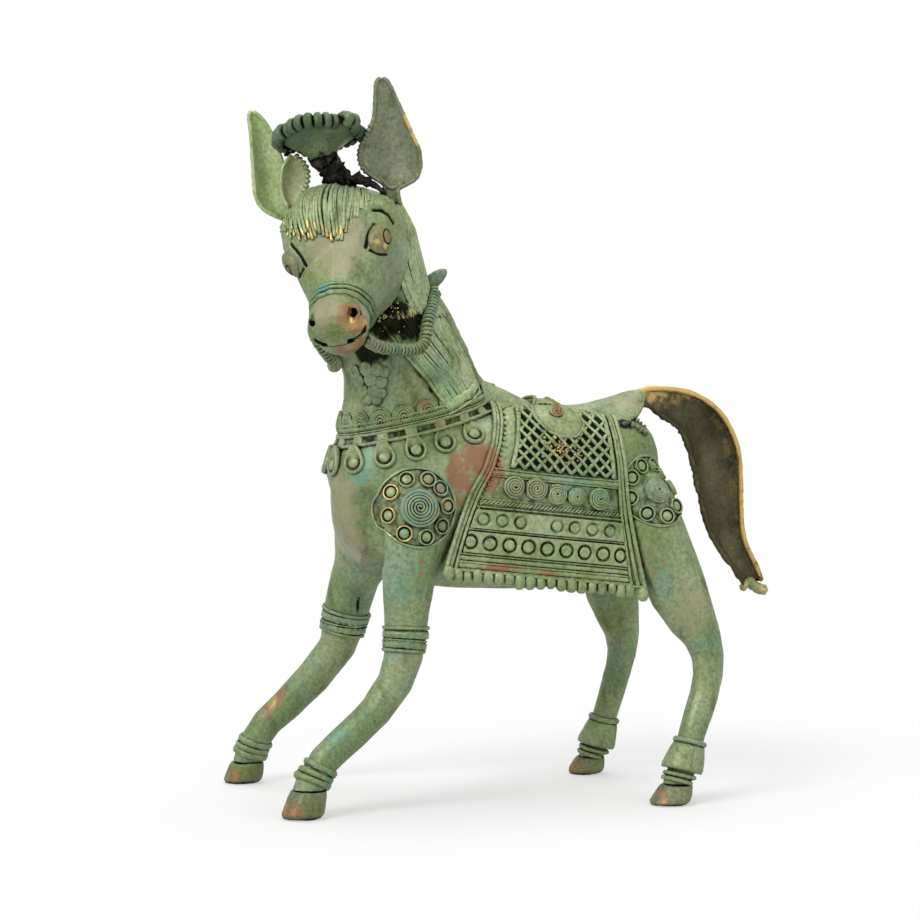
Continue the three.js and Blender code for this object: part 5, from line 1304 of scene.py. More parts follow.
rein_brass = green_brass(
    "rein_brass", yellow=0.3, blue=0.35, shift=7.4, folds=(1.5, 0.78, 0.38), wear=0.5)
for word, points, tan in (("left", LEFT_REIN, 16), ("right", RIGHT_REIN, 1)):
    rein = Wax(81)
    wound_cord(rein, points, tan)
    cast(f"{word}_rein", rein, rein_brass)
peg = Wax(83)
peg_line = smooth_line(np.array(PEG) * MM, 0.8 * MM)
peg_share = np.linspace(0, 1, len(peg_line))
peg.thread(peg_line, 3.4 * np.sqrt(1 - (peg_share * 0.97) ** 4), sides=16, wobble=0.02)
for share in (0.2, 0.36):
    peg.ring(peg_line[int(share * len(peg_line))], peg_line[-1] - peg_line[0], 3.3, 0.75)
peg_brass = green_brass(
    "peg_brass", green=(0.13, 0.205, 0.115), sage=(0.20, 0.27, 0.165), yellow=0.1, blue=0.5, shift=1.2,
    folds=(2, 0.75, 0.35), wear=0.3)
cast("rein_peg", peg, peg_brass, slot="worn_brass")


# Throat tassel: a bunch of soft wax pellets pressed on to the front of the neck under the chin, the outer
# ones standing over its edge. Clay still fills the hollows between them.
# Each pellet: spot of the photograph, radius
TASSEL_PELLETS = (
    ((356, 372), 2.7), ((366, 369), 3.0), ((377, 370), 3.0), ((384, 372), 2.4), ((360, 381), 3.0),
    ((371, 380), 3.2), ((381, 382), 2.9), ((364, 391), 2.9), ((374, 391), 3.0), ((381, 393), 2.5),
    ((369, 399), 2.5), ((377, 400), 2.3))
tassel = Wax(91)
for i, (spot, radius) in enumerate(TASSEL_PELLETS):
    at, out = seen_at(body_tree, spot, 0.4)
    tassel.bead(at, square_axes(out), (radius, radius * 1.1, 1.7), square=0.7)
    if i % 3 == 0:
        tassel.coil(at + out * 0.9 * MM, out, radius * 0.8, 0.5, 1.5, dome=0.5, start=i * 2.1)
tassel_brass = green_brass(
    "tassel_brass", green=(0.135, 0.205, 0.10), yellow=0.25, blue=0.2, shift=2.9, folds=(2.2, 0.82, 0.42))
cast("throat_tassel", tassel, tassel_brass, (0.5, 220, 0.2, 600))


# Collar: an openwork band round the foot of the neck. A braid runs between two wires; below it two rails
# are tied by flat blocks, each with a drop and a ringed pellet hung from it. Half scrolls stand on top.
COLLAR_MIDDLE = Vector((1.6, -44.9, 157.5)) * MM
COLLAR_TILT = Matrix.Rotation(math.radians(13), 3, "X")
COLLAR_HALF_LENGTH = 37
COLLAR_HALF_WIDTH = 31.5
# Wires: rise, thickness, lift
COLLAR_WIRES = ((6.2, 0.62, 0.9), (2.7, 0.5, 0.6), (1.5, 0.8, 0.7), (-2.3, 0.85, 0.7))
BRAID_RISE = 4.5
BRAID_PITCH = 4.2
BLOCK_RISE = -0.4
BLOCK_HALF = (3.3, 2.3)
PENDANT_COUNT = 16
PENDANT_PHASE = 0.185
PENDANT_RISE = -8.4
PENDANT_BACK = -0.6
PENDANT_DISC = ((0, 1.5), (1.8, 1.5), (2.3, 1.0), (2.45, -0.1), (3.3, -0.1), (3.45, 1.3), (4.0, 1.5),
                (4.6, 1.0), (4.8, -0.6), (0, -0.6))
SCROLL_COUNT = 19
SCROLL_PHASE = 0.98
SCROLL_ARCS = (0.9, 2.1, 3.2, 4.3, 5.3)
SCROLL_FOOT = 5.8


def on_collar(angle, rise, lift):
    """A place on the collar: the turn from the chest to the left, the rise over its middle line."""
    flat = Vector((COLLAR_HALF_WIDTH * math.sin(angle), -COLLAR_HALF_LENGTH * math.cos(angle), rise)) * MM
    out = Vector((COLLAR_HALF_LENGTH * math.sin(angle), -COLLAR_HALF_WIDTH * math.cos(angle), 0))
    return press(body_tree, COLLAR_MIDDLE + COLLAR_TILT @ flat, COLLAR_TILT @ out, lift)


collar = Wax(101)
collar_up = COLLAR_TILT @ UP
for rise, thick, lift in COLLAR_WIRES:
    collar.thread([on_collar(a, rise, lift)[0] for a in turns_of(150)], thick, closed=True)
collar_round = 2 * math.pi * math.hypot(COLLAR_HALF_LENGTH, COLLAR_HALF_WIDTH) / math.sqrt(2)
plaits = round(collar_round / BRAID_PITCH)
for phase in (0, 1, 2):
    strand = []
    for a in turns_of(plaits * 9):
        swing = plaits * a + phase * 2 * math.pi / 3
        strand.append(on_collar(a, BRAID_RISE + 0.95 * math.sin(swing), 0.7 + 0.35 * math.cos(2 * swing))[0])
    collar.thread(strand, 0.58, closed=True, sides=6)
band_turns = turns_of(150) + [0.0]
collar.plate(*([[on_collar(a, rise, lift)[0] for a in band_turns] for rise in np.linspace(1.6, -2.4, 5)]
               for lift in (0.15, -0.6)), soot_and_shade=0.5)
for a in turns_of(PENDANT_COUNT, PENDANT_PHASE):
    out = on_collar(a, BLOCK_RISE, 0.3)[1]
    rusty = (0, 0.5, 0, 0) if 1.5 < a < 1.9 else PLAIN
    block = []
    for share in np.linspace(-1, 1, 13):
        rises = [(BLOCK_RISE + BLOCK_HALF[1] * r, r) for r in np.linspace(-1, 1, 9)]
        swell_up = [1.3 * (1 - share ** 6) ** 0.5 * (1 - r ** 6) ** 0.5 for _, r in rises]
        turn = a + share * BLOCK_HALF[0] / COLLAR_HALF_LENGTH
        block.append([on_collar(turn, high, lift)[0] for (high, _), lift in zip(rises, swell_up)])
    collar.plate(block, [[p - out * 1.2 * MM for p in line] for line in block], rusty)
    if math.cos(a) > PENDANT_BACK:
        at, out = on_collar(a, PENDANT_RISE, 0.2)
        turned(collar, at, out, PENDANT_DISC, upward=collar_up, pull=3.4, pull_from=3.4, steps=32)
collar_brass = green_brass(
    "collar_brass", green=(0.215, 0.295, 0.130), sage=(0.325, 0.38, 0.20), yellow=0.45, blue=0.3,
    shift=4.7, folds=(2.0, 0.78, 0.42), wear=0.55)
cast("collar", collar, collar_brass, (0.15, 260, 0.1, 700))

collar_scrolls = Wax(102)
for a in turns_of(SCROLL_COUNT, SCROLL_PHASE):
    if math.cos(a) < PENDANT_BACK:
        continue
    rusty = (0, 0.42, 0, 0) if 1.5 < a < 2.1 else PLAIN
    turn = 1 / math.hypot(COLLAR_HALF_WIDTH * math.cos(a), COLLAR_HALF_LENGTH * math.sin(a))
    for i, reach in enumerate(SCROLL_ARCS):
        arc = []
        lift = 1.3 - 0.16 * reach
        for swing in np.linspace(-0.15, math.pi + 0.15, 6 + 4 * i):
            rise = SCROLL_FOOT + reach * math.sin(swing)
            arc.append(on_collar(a + reach * math.cos(swing) * turn, rise, lift))
        collar_scrolls.lay(arc, 0.6, stain=rusty)
    at, out = on_collar(a, SCROLL_FOOT + 1, 0)
    collar_scrolls.bead(at, square_axes(out), (4.9, 4.0, 0.9), rusty, square=0.6, sides=18)
cast("collar_scrolls", collar_scrolls, collar_brass)


# Rosettes: on each shoulder and each side of the rump a rim wire holds nine ringed pellets round a domed
# scroll. The pellets' rings are rubbed to brass on the shoulder.
SHOULDER_ROSETTE = {"at": (38.1, -50.4, 124.6), "lean": 0, "radius": 16.0, "ring": 12.0, "boss": 8.4}
RUMP_ROSETTE = {"at": (35.2, 53.6, 129.5), "lean": 18, "radius": 14.4, "ring": 10.7, "boss": 5.8}
ROSETTE_TURNS = (2, 39, 68, 110, 149, 195, 238, 281, 321)
RINGED_PELLET = ((0, 1.5), (1.6, 1.4), (2.2, 0.9), (2.3, -0.1), (2.7, -0.1), (2.85, 1.1), (3.2, 1.3),
                 (3.6, 0.7), (3.7, -0.8), (0, -0.8))
BLUE_GREY = (0, 0, 0.5, 0.55)
BACK_MIDDLE = 1.6


def rosette(wax, place, side, golden):
    """One rosette, pressed on to the body."""
    x, y, z = place["at"]
    middle = Vector((side * (x - BACK_MIDDLE) + BACK_MIDDLE, y, z)) * MM
    lean = math.radians(place["lean"])
    out = Vector((side * math.cos(lean), math.sin(lean), 0.0))
    across, up, _ = square_axes(out)

    def spot_at(reach, degrees, lift):
        a = math.radians(degrees)
        way = across * side * math.cos(a) + up * math.sin(a)
        return press(body_tree, middle + way * reach * MM, out, lift)

    bed = [[spot_at(share * place["radius"], degrees, 0.1)[0] for degrees in np.linspace(0, 360, 49)]
           for share in np.linspace(0.05, 1, 9)]
    wax.plate(bed, [[p - out * 0.6 * MM for p in line] for line in bed], soot_and_shade=0.42)
    round_degrees = np.linspace(0, 360, 80, endpoint=False)
    rim = [spot_at(place["radius"], degrees, 0.3) for degrees in round_degrees]
    worn = np.maximum(0, np.cos(np.radians(round_degrees - 190))) * golden * wax.chance.uniform(0, 0.9, 80)
    wax.lay(rim, 0.7, closed=True, stain=np.outer(worn, RUBBED))
    for degrees in ROSETTE_TURNS:
        at, facing = spot_at(place["ring"], degrees, 0)
        gold = max(0.0, math.cos(math.radians(degrees - 190))) * golden
        rust = max(0.0, math.cos(math.radians(degrees - 35))) * 0.5 * golden
        turned(wax, at, facing, RINGED_PELLET, steps=24, stain=(0, rust, 0, 0))
        wax.ring(at + facing * 1.15 * MM, facing, 3.1, 0.42, stain=(gold, 0, 0, 0))
    at, facing = spot_at(0, 0, 0)
    wax.pellet(at, facing, place["boss"], 1.9, stain=BLUE_GREY)
    wax.coil(at + facing * 0.7 * MM, facing, place["boss"], 0.6, 6.0, dome=1.6, stain=BLUE_GREY)


rosette_brass = green_brass(
    "rosette_brass", green=(0.245, 0.335, 0.150), sage=(0.36, 0.42, 0.225), yellow=0.4, blue=0.35,
    shift=5.9, folds=(2.0, 0.78, 0.42), wear=0.5)
for word, side in SIDES:
    for name, place, golden in (("shoulder", SHOULDER_ROSETTE, 1.0), ("rump", RUMP_ROSETTE, 0.25)):
        disc = Wax(111)
        rosette(disc, place, side, golden)
        cast(f"{word}_{name}_rosette", disc, rosette_brass, (0.22, 260, 0.12, 700))


# Blanket: on each side a sheet of wax hung over the trunk, edged with two wires and a line of tiny beads,
# and striped with threads below. Rows of ornament lie on it, each pressed on as one strip.
ROW_FALL = 0.115
ROW_MIDDLE = 2.6
# Edges: row, place along the horse
BLANKET_FRONT = ((168, -11.2), (155.2, -14.5), (138, -21.4), (127, -27.4), (112.2, -33.5), (94.7, -39.7),
                 (88, -41.4))
BLANKET_REAR = ((168, 38.2), (155, 38.6), (133.6, 40.4), (119, 42.6), (88, 48.6))
BLANKET_TOP = 163.5
BLANKET_FOOT = 94
CLOTH_LIFT = 1.1
FACE_STEP = 2.0
FACE_AWAY = 0.09
face_rows = np.arange(168, 76, -FACE_STEP)
face_columns = np.arange(-52, 64, FACE_STEP)
front_edge = smooth_line(BLANKET_FRONT[::-1], 1.0)
rear_edge = smooth_line(BLANKET_REAR[::-1], 1.0)


def side_face(side):
    """How far the trunk stands out at each height and length; the cloth hangs straight from its widest."""
    reach = np.zeros((len(face_rows), len(face_columns)))
    for i, high in enumerate(face_rows):
        for k, along in enumerate(face_columns):
            start = Vector((side * FACE_AWAY, along * MM, high * MM))
            hit = body_tree.ray_cast(start, Vector((-side, 0, 0)), FACE_AWAY)[0]
            reach[i, k] = side * hit.x / MM if hit is not None else 0.0
    hung = np.maximum.accumulate(reach, axis=0)
    for _ in range(4):
        padded = np.pad(hung, 1, mode="edge")
        hung = (padded[:-2, 1:-1] + padded[2:, 1:-1] + padded[1:-1, :-2] + padded[1:-1, 2:] + 2 * hung) / 6
    return np.maximum(hung, reach)


hung_faces = {side: side_face(side) for _, side in SIDES}


def reach_at(side, along, high):
    """How far the hung cloth stands out, between the places it was measured at."""
    face = hung_faces[side]
    i = np.clip((face_rows[0] - high) / FACE_STEP, 0, len(face_rows) - 1.001)
    k = np.clip((along - face_columns[0]) / FACE_STEP, 0, len(face_columns) - 1.001)
    a, b = int(i), int(k)
    u, v = i - a, k - b
    upper = face[a, b] * (1 - v) + face[a, b + 1] * v
    lower = face[a + 1, b] * (1 - v) + face[a + 1, b + 1] * v
    return upper * (1 - u) + lower * u


def on_side(side, along, high, lift):
    """A place on the hung cloth, and the way it faces."""
    here = reach_at(side, along, high)
    slope_along = (reach_at(side, along + 1, high) - reach_at(side, along - 1, high)) / 2
    slope_high = (reach_at(side, along, high + 1) - reach_at(side, along, high - 1)) / 2
    out = Vector((side, -slope_along, -max(slope_high, -2.5))).normalized()
    return Vector((side * here, along, high)) * MM + out * lift * MM, out


def on_blanket(side, share, row, lift):
    """A place on the blanket: share from its front to its rear edge, and row."""
    front = np.interp(row, *front_edge.T)
    along = front + (np.interp(row, *rear_edge.T) - front) * share
    return on_side(side, along, row - ROW_FALL * (along - ROW_MIDDLE), lift)


def along_row(side, row, shares, lift):
    return [on_blanket(side, share, row, lift) for share in np.linspace(*shares, 70)]


def down_edge(side, share, foot, lift):
    return [on_blanket(side, share, row, lift) for row in np.linspace(BLANKET_TOP, foot, 80)]


# Stripes: row, thickness, width for its thickness
BLANKET_STRIPES = (
    (137.6, 0.55, 1.0), (136.0, 0.6, 2.0), (134.6, 0.5, 1.0), (121.6, 0.45, 1.0), (112.0, 0.6, 1.0),
    (101.6, 0.55, 1.0), (99.9, 0.6, 1.8), (98.2, 0.55, 1.0), (96.7, 0.6, 1.9), (95.2, 0.5, 1.0))
BLANKET_BRAID = 123.6
EDGE_BEADS = 34
blanket_brass = green_brass(
    "blanket_brass", green=(0.255, 0.345, 0.150), sage=(0.365, 0.425, 0.225), yellow=0.55, blue=0.4,
    shift=6.1, folds=(2.0, 0.74, 0.38), wear=0.55)
for word, side in SIDES:
    cloth = Wax(121)
    shares = np.linspace(0, 1, 56)
    rows = np.linspace(BLANKET_TOP, BLANKET_FOOT, 60)
    cloth.plate([[on_blanket(side, s, r, CLOTH_LIFT)[0] for s in shares] for r in rows],
                [[on_blanket(side, s, r, -0.9)[0] for s in shares] for r in rows])
    for share, thick in ((0.0, 0.9), (0.05, 0.75), (0.945, 0.75), (1.0, 0.9)):
        cloth.lay(down_edge(side, share, BLANKET_FOOT - 1, CLOTH_LIFT + 0.45), thick)
    for share in (0.025, 0.972):
        cloth.lay(down_edge(side, share, BLANKET_FOOT, CLOTH_LIFT), 0.6, wide=2.0)
    for r in np.linspace(BLANKET_TOP - 2, BLANKET_FOOT, EDGE_BEADS):
        at, out = on_blanket(side, 0.078, r, CLOTH_LIFT + 0.3)
        cloth.bead(at, square_axes(out), (0.62, 0.75, 0.8), sides=8, rows=6)
    for row, thick, wide in BLANKET_STRIPES:
        cloth.lay(along_row(side, row, (0.06, 0.94), CLOTH_LIFT + 0.3), thick, wide=wide)
    for phase in (0, math.pi):
        run = []
        for i, share in enumerate(np.linspace(0.07, 0.94, 190)):
            swing = i * 0.62 + phase
            lift = CLOTH_LIFT + 0.5 + 0.35 * math.cos(swing)
            run.append(on_blanket(side, share, BLANKET_BRAID + 0.55 * math.sin(swing), lift))
        cloth.lay(run, 0.45, sides=6)
    cast(f"{word}_blanket", cloth, blanket_brass, (0.12, 240, 0.06, 600), (
        ((side * 35, -19, 140), (9, 5, 11), RUST, 0.9),
        ((side * 37, -16, 98.6), (9, 12, 2.2), RUST, 0.8),
        ((side * 37, 6, 96.5), (9, 6, 2.2), RUST, 0.5),
        ((side * 36, 22, 124), (9, 10, 4), BLUE, 0.35)))


# Lattice: flat wax strips laid crosswise over the upper half of the blanket, one set over the other.
# The openings are packed with black clay, and grains of bright metal have caught on it.
LATTICE_ROWS = (138.8, 162.5)
LATTICE_SHARES = (0.18, 0.9)
LATTICE_PITCH = 5.0
LATTICE_SLOPE = 0.95
LATTICE_THICK = 0.6
LATTICE_GRAINS = 80
lattice_brass = green_brass(
    "lattice_brass", green=(0.28, 0.37, 0.165), sage=(0.39, 0.455, 0.245), yellow=0.5, blue=0.35,
    shift=1.4, folds=(1.6, 0.7, 0.35), wear=0.6)


def clay_and_shade_bed(wax, side, shares, rows, soot_and_shade):
    """Black clay lying on the blanket between its raised trim; behind the scroll row it is painted shade."""
    columns = np.linspace(*shares, 40)
    lines = np.linspace(*rows, 24)
    wax.plate(*([[on_blanket(side, s, r, lift)[0] for s in columns] for r in lines]
                for lift in (CLOTH_LIFT + 0.3, CLOTH_LIFT - 0.4)), soot_and_shade=soot_and_shade)


for word, side in SIDES:
    lattice = Wax(131)
    clay_and_shade_bed(lattice, side, LATTICE_SHARES, LATTICE_ROWS[::-1], 0.95)
    for way, lift in ((1, CLOTH_LIFT + 1.2), (-1, CLOTH_LIFT + 1.7)):
        for start in np.arange(-70, 110, LATTICE_PITCH):
            run = []
            for row in np.linspace(*LATTICE_ROWS, 26):
                along = start + way * (row - LATTICE_ROWS[0]) / LATTICE_SLOPE
                front = np.interp(row, *front_edge.T)
                share = (along - front) / (np.interp(row, *rear_edge.T) - front)
                if LATTICE_SHARES[0] < share < LATTICE_SHARES[1]:
                    run.append(on_blanket(side, share, row, lift))
            if len(run) > 3:
                lattice.lay(run, LATTICE_THICK * (0.9 + 0.2 * lattice.chance.random()), wide=1.2)
    for share in LATTICE_SHARES:
        run = [on_blanket(side, share, r, CLOTH_LIFT + 0.9) for r in np.linspace(*LATTICE_ROWS, 40)]
        lattice.lay(run, 0.85, wide=1.2)
    for _ in range(LATTICE_GRAINS):
        share, row, rise = lattice.chance.normal((0.5, 148, 2.0), (0.1, 2.8, 0.3))
        at, out = on_blanket(side, share, row, CLOTH_LIFT + rise)
        gold = (0.8, 0, 0, 0) if lattice.chance.random() > 0.5 else (0, 0.5, 0, 0)
        lattice.bead(at, square_axes(out), 0.45 + 0.45 * lattice.chance.random(3), gold, sides=7, rows=5)
    cast(f"{word}_lattice", lattice, lattice_brass, (0.12, 240, 0.06, 600))


# Scroll row: five flat coils of thread side by side across the middle of the blanket.
# Each: share along the blanket, row, radius, stain
SCROLLS = ((0.238, 131.0, 5.1, (0, 0, 0, 0.6)), (0.379, 131.0, 5.1, (0, 0, 0, 0.5)),
           (0.52, 129.4, 4.7, (0.1, 0.3, 0, 0)), (0.648, 129.4, 4.2, (0, 0.3, 0, 0.3)),
           (0.797, 129.6, 5.0, (0, 0, 0.4, 0)))
for word, side in SIDES:
    scrolls = Wax(141)
    # A bed of painted shade behind the scrolls.
    clay_and_shade_bed(scrolls, side, (0.13, 0.93), (134, 125.6), 0.38)
    for i, (share, row, radius, stain) in enumerate(SCROLLS):
        at, out = on_blanket(side, share, row, CLOTH_LIFT + 0.7 + 0.3 * (i % 2))
        scrolls.coil(at + out * 0.5 * MM, out, radius, 0.62, 3.8, dome=0.9, start=i * 1.7, stain=stain)
        scrolls.pellet(at, out, radius * 0.95, 0.7, stain=stain)
    cast(f"{word}_scroll_row", scrolls, blanket_brass, (0.15, 240, 0.06, 600))


# Ring rows: two flat strips along the lower half, each with a row of pellets set in a ring-shaped groove.
# The grooves are black with clay.
UPPER_RINGS = {"row": 116.5, "shares": (0.122, 0.852), "count": 8, "radius": 2.0, "half": 3.9,
               "depth": 1.2, "blank": 3}
LOWER_RINGS = {"row": 106.7, "shares": (0.092, 0.902), "count": 9, "radius": 2.3, "half": 4.4,
               "depth": 2.1, "blank": -1}
RING_GROOVE = 0.9
STRIP_RISE = 1.5


def ring_strip(side, strip):
    """A strip with its grooves pressed in: a fine grid lowered round each pellet."""
    wax = Wax(151)
    columns = np.linspace(0.065, 0.94, 240)
    rows = np.linspace(strip["row"] + strip["half"], strip["row"] - strip["half"], 30)
    places = np.linspace(*strip["shares"], strip["count"])
    middles = [on_blanket(side, s, strip["row"], 0)[0] for i, s in enumerate(places) if i != strip["blank"]]
    outer = []
    inner = []
    for row in rows:
        outer_row = []
        for column in columns:
            ground = on_blanket(side, column, row, 0)[0]
            away = min((ground - m).length for m in middles) / MM
            inside = abs(away - strip["radius"] - RING_GROOVE / 2) / (RING_GROOVE / 2)
            uneven = 0.75 + 0.5 * noise.noise(ground * 300)
            sunk = strip["depth"] * uneven * np.clip(1.35 - inside, 0, 1)
            outer_row.append(on_blanket(side, column, row, CLOTH_LIFT + STRIP_RISE - sunk)[0])
        outer.append(outer_row)
        inner.append([on_blanket(side, column, row, CLOTH_LIFT - 0.6)[0] for column in columns])
    wax.plate(outer, inner)
    return wax


for word, side in SIDES:
    for name, strip in (("upper", UPPER_RINGS), ("lower", LOWER_RINGS)):
        rings = ring_strip(side, strip)
        rings_mesh = rings.mesh(f"{word}_{name}_rings")
        seat_piece(f"cast_{word}_{name}_rings", rings_mesh, blanket_brass, "patina_brass",
                   f"{word}_{name}_ring_row")


# Fringe: a row of fat drops hung along the foot of the blanket, squeezed against each other.
# The front ones are turquoise and the rear ones brown at the tip.
FRINGE_BEADS = 20
for word, side in SIDES:
    fringe = Wax(161)
    for i, share in enumerate(np.linspace(0.02, 0.985, FRINGE_BEADS)):
        size = 1 + 0.08 * fringe.chance.standard_normal()
        at, out = on_blanket(side, share, 92.3 + 0.4 * fringe.chance.standard_normal(), CLOTH_LIFT + 0.3)
        across = UP.cross(out).normalized()
        stain = (0, 0, 0.3, 0.2) if i < 4 else (0, 0.25 if i > 12 and i % 3 == 0 else 0.0, 0, 0.3)
        halves = (2.35 * size, 2.3, 2.9 * size)
        fringe.bead(at, (across, out, UP), halves, stain, square=0.75, sides=16, rows=12)
    fringe.lay(along_row(side, 94.6, (0.0, 1.0), CLOTH_LIFT + 0.6), 0.7)
    cast(f"{word}_fringe", fringe, blanket_brass, (0.25, 240, 0.1, 600))


# Saddle: a low pad of wax sheet along the back, running forward as a strap to the withers, with a rounded
# tongue down each side that carries a copper ring, and a leaf that rises over the croup to the tail.
BACK_AXIS = 125
BACK_OUT = 0.03
# Rows from front to rear: place along the horse, height of the ridge, half spread in degrees
SEAT_ROWS = ((-15, 175.4, 9), (-9, 173.4, 11), (-3, 171, 13), (4, 167.6, 15), (11, 164.8, 18),
             (19, 164.8, 19), (27, 164.4, 17), (32, 164.2, 12))
# The strap goes on up the nape: heights, lift
NAPE_STRAP = ((212, -1.2), (204, -0.6), (196, -0.4), (188, -0.2), (181, 0.3))
# The leaf from front to rear: place along the horse, height of its ridge, half width, height of its edge
LEAF_ROWS = (
    (24, 164.6, 3.5, 164), (27, 164.8, 10.5, 163), (34, 165.8, 14, 160.2), (44, 168.2, 15, 158.4),
    (49, 169.6, 13.8, 159.4), (53, 170.5, 11, 162.4), (56, 170.8, 7, 166), (58.2, 170.4, 2.2, 169.4))
# Lumps of clay and metal left under the leaf's end, as spots of the photograph
LEAF_STUB = ((639, 417), (643, 420), (640, 424), (644, 427), (641, 431), (645, 434), (637, 421), (638, 428),
             (629, 423), (633, 425), (625, 424))
# The tongues, from the ridge down: turn from upright in degrees, front edge, rear edge
TONGUE_ROWS = (
    (0, 8.6, 15.5), (8, 7, 15.8), (13, 5.9, 16), (18.5, 3.9, 17.6), (24, 3, 20.5), (32, 2.6, 22.8),
    (36.3, 4.5, 23.3), (40.5, 6.3, 22.1), (44, 8.5, 20.3), (46.2, 12, 18.3))
TONGUE_RING = (30.5, 12)


def on_back(along, share, row, lift):
    """A place on a sheet over the back: share from its right edge to its left, ridge height and spread."""
    ridge, spread = row
    a = math.radians(spread * share)
    axis = Vector((BACK_MIDDLE, along, BACK_AXIS)) * MM
    way = Vector((math.sin(a), 0, math.cos(a)))
    crown = press(body_tree, axis + UP * BACK_OUT, UP, 0)[0].z / MM
    at = press(body_tree, axis + way * BACK_OUT, way, 0)[0]
    rise = max(ridge - crown - 1.2, 0.2) * (1 - share ** 2) + 1.2 * (1 - share ** 6) + 0.2
    return at + Vector((math.sin(a) * 0.5, 0, 1)).normalized() * (rise + lift) * MM


def back_sheet(wax, rows):
    """A padded sheet over the back; gives back its left and its right edge."""
    table = smooth_line(rows, 1.5)
    shares = np.linspace(-1, 1, 33)
    top = [[on_back(y, s, (ridge, spread), 0) for s in shares] for y, ridge, spread in table]
    foot = [[on_back(y, s, (ridge, spread), -1.4) for s in shares] for y, ridge, spread in table]
    wax.plate(top, foot)
    return [line[-1] for line in top], [line[0] for line in top]


saddle_brass = green_brass(
    "saddle_brass", green=(0.22, 0.30, 0.14), sage=(0.32, 0.375, 0.20), yellow=0.45, blue=0.15, shift=1.7,
    folds=(3.5, 0.66, 0.3), wear=0.4)
seat = Wax(211)
for line in back_sheet(seat, SEAT_ROWS):
    seat.thread(line, 0.7)
nape = [on_neck(combed_tree, high, 0, LEFT, lift)[0] for high, lift in NAPE_STRAP]
nape += [on_back(y, 0, (ridge, 10), -2.4) for y, ridge, _ in SEAT_ROWS[:2]]
seat.thread(smooth_line(nape, 1.5 * MM), 2.9, sides=14, wobble=0.03)
seat_mesh = cast("saddle_seat", seat, saddle_brass, (0.4, 110, 0.1, PIT_SCALE), (
    ((12, 8, 166), (12, 9, 7), PALE_FILM_AND_SHEEN, 0.6),))

croup = Wax(212)
leaf_top = []
for y, ridge, half, edge in smooth_line(LEAF_ROWS, 1.2):
    line = []
    for share in np.linspace(-1, 1, 33):
        high = ridge - (ridge - edge) * abs(share) ** 1.9
        line.append(Vector((BACK_MIDDLE + half * share, y, high)) * MM)
    leaf_top.append(line)
croup.plate(leaf_top, [[p - UP * 1.7 * MM for p in line] for line in leaf_top])
for k in (0, -1):
    ribs(croup, [line[k] for line in leaf_top][8:], 1.0, 1.4)
for side in (LEFT, RIGHT):
    for i, spot in enumerate(LEAF_STUB):
        at, out = seen_at(body_tree, spot, 0.4)
        at.x = BACK_MIDDLE * MM + side * (at.x - BACK_MIDDLE * MM)
        out.x *= side
        # The lumps are darkened partly with painted shadow from the leaf.
        croup.bead(at, square_axes(out), (1.6, 0.9, 1.4), sides=10, rows=7, soot_and_shade=0.3 + 0.15 * (i % 3))
cast("crupper", croup, saddle_brass, (0.3, 110, 0.1, PIT_SCALE), (
    ((12, 47, 168), (12, 12, 7), PALE_FILM_AND_SHEEN, 0.7),
    ((3, 58, 169), (3, 2, 2), RUBBED, 0.5)))

back_tree = tree_of(body_mesh, seat_mesh)


def on_tongue(side, degrees, along, lift):
    """A place on a tongue: turn from upright, place along the horse."""
    a = math.radians(degrees)
    way = Vector((side * math.sin(a), 0, math.cos(a)))
    return press(back_tree, Vector((BACK_MIDDLE, along, BACK_AXIS)) * MM + way * BACK_OUT, way, lift)


tongue_brass = green_brass(
    "tongue_brass", green=(0.235, 0.295, 0.115), sage=(0.305, 0.350, 0.165), yellow=0.8, blue=0.05,
    shift=2.6, folds=(2.5, 0.66, 0.3), wear=0.4)
for word, side in SIDES:
    tongue = Wax(213)
    table = smooth_line(TONGUE_ROWS, 1.2)
    top = []
    foot = []
    for k, (degrees, front, rear) in enumerate(table):
        end = k / (len(table) - 1)
        shares = np.linspace(-1, 1, 25)
        places = (front + rear) / 2 + (rear - front) / 2 * shares
        swell_up = np.interp(degrees, (0, 12, 22), (1.3, 1.7, 2.6))
        rises = swell_up * (1 - shares ** 8) ** 0.5 * (1 - end ** 10) ** 0.5 + 0.4
        top.append([on_tongue(side, degrees, y, CLOTH_LIFT + r)[0] for y, r in zip(places, rises)])
        foot.append([on_tongue(side, degrees, y, -0.5)[0] for y in places])
    tongue.plate(top, foot)
    outline = [(degrees, front) for degrees, front, _ in table]
    outline += [(degrees, rear) for degrees, _, rear in table[::-1]]
    rim = [on_tongue(side, degrees, y, CLOTH_LIFT + 1.6)[0] for degrees, y in outline]
    tongue.thread(smooth_line(rim, 1.0 * MM), 0.75)
    at, _ = on_tongue(side, *TONGUE_RING, CLOTH_LIFT + 3.2)
    ring_out = Vector((side * 0.75, -0.1, 0.65)).normalized()
    tongue.pellet(at, ring_out, 3.0, 1.0, stain=(0, 0.3, 0, 0))
    tongue.coil(at + ring_out * 0.9 * MM, ring_out, 3.6, 0.6, 2.3, dome=0.3, stain=(0.2, 0.6, 0, 0))
    cast(f"{word}_saddle_flap", tongue, tongue_brass)


# Tail: one long leaf hammered to a channel, open to the horse's left. Inside it is dark and pitted; the
# back edge has been rubbed to bright brass, and the outside is green like the rest. The tip curls over.
TAIL_X = -0.4
# Rows from the root to the tip: place along the horse, height, half width
TAIL = ((57.4, 167.4, 2.4), (63, 167.2, 3.9), (70, 165.2, 6), (81, 160.6, 8.4), (88.6, 153, 10.2),
        (93.2, 142, 11), (95, 131, 10.4), (96.4, 121, 9.2), (98.2, 111, 7.8), (102.4, 101, 5.8),
        (108.6, 91, 4.6), (111.3, 85, 4.2))
TAIL_CUP = 0.75
TAIL_WALL = 1.1
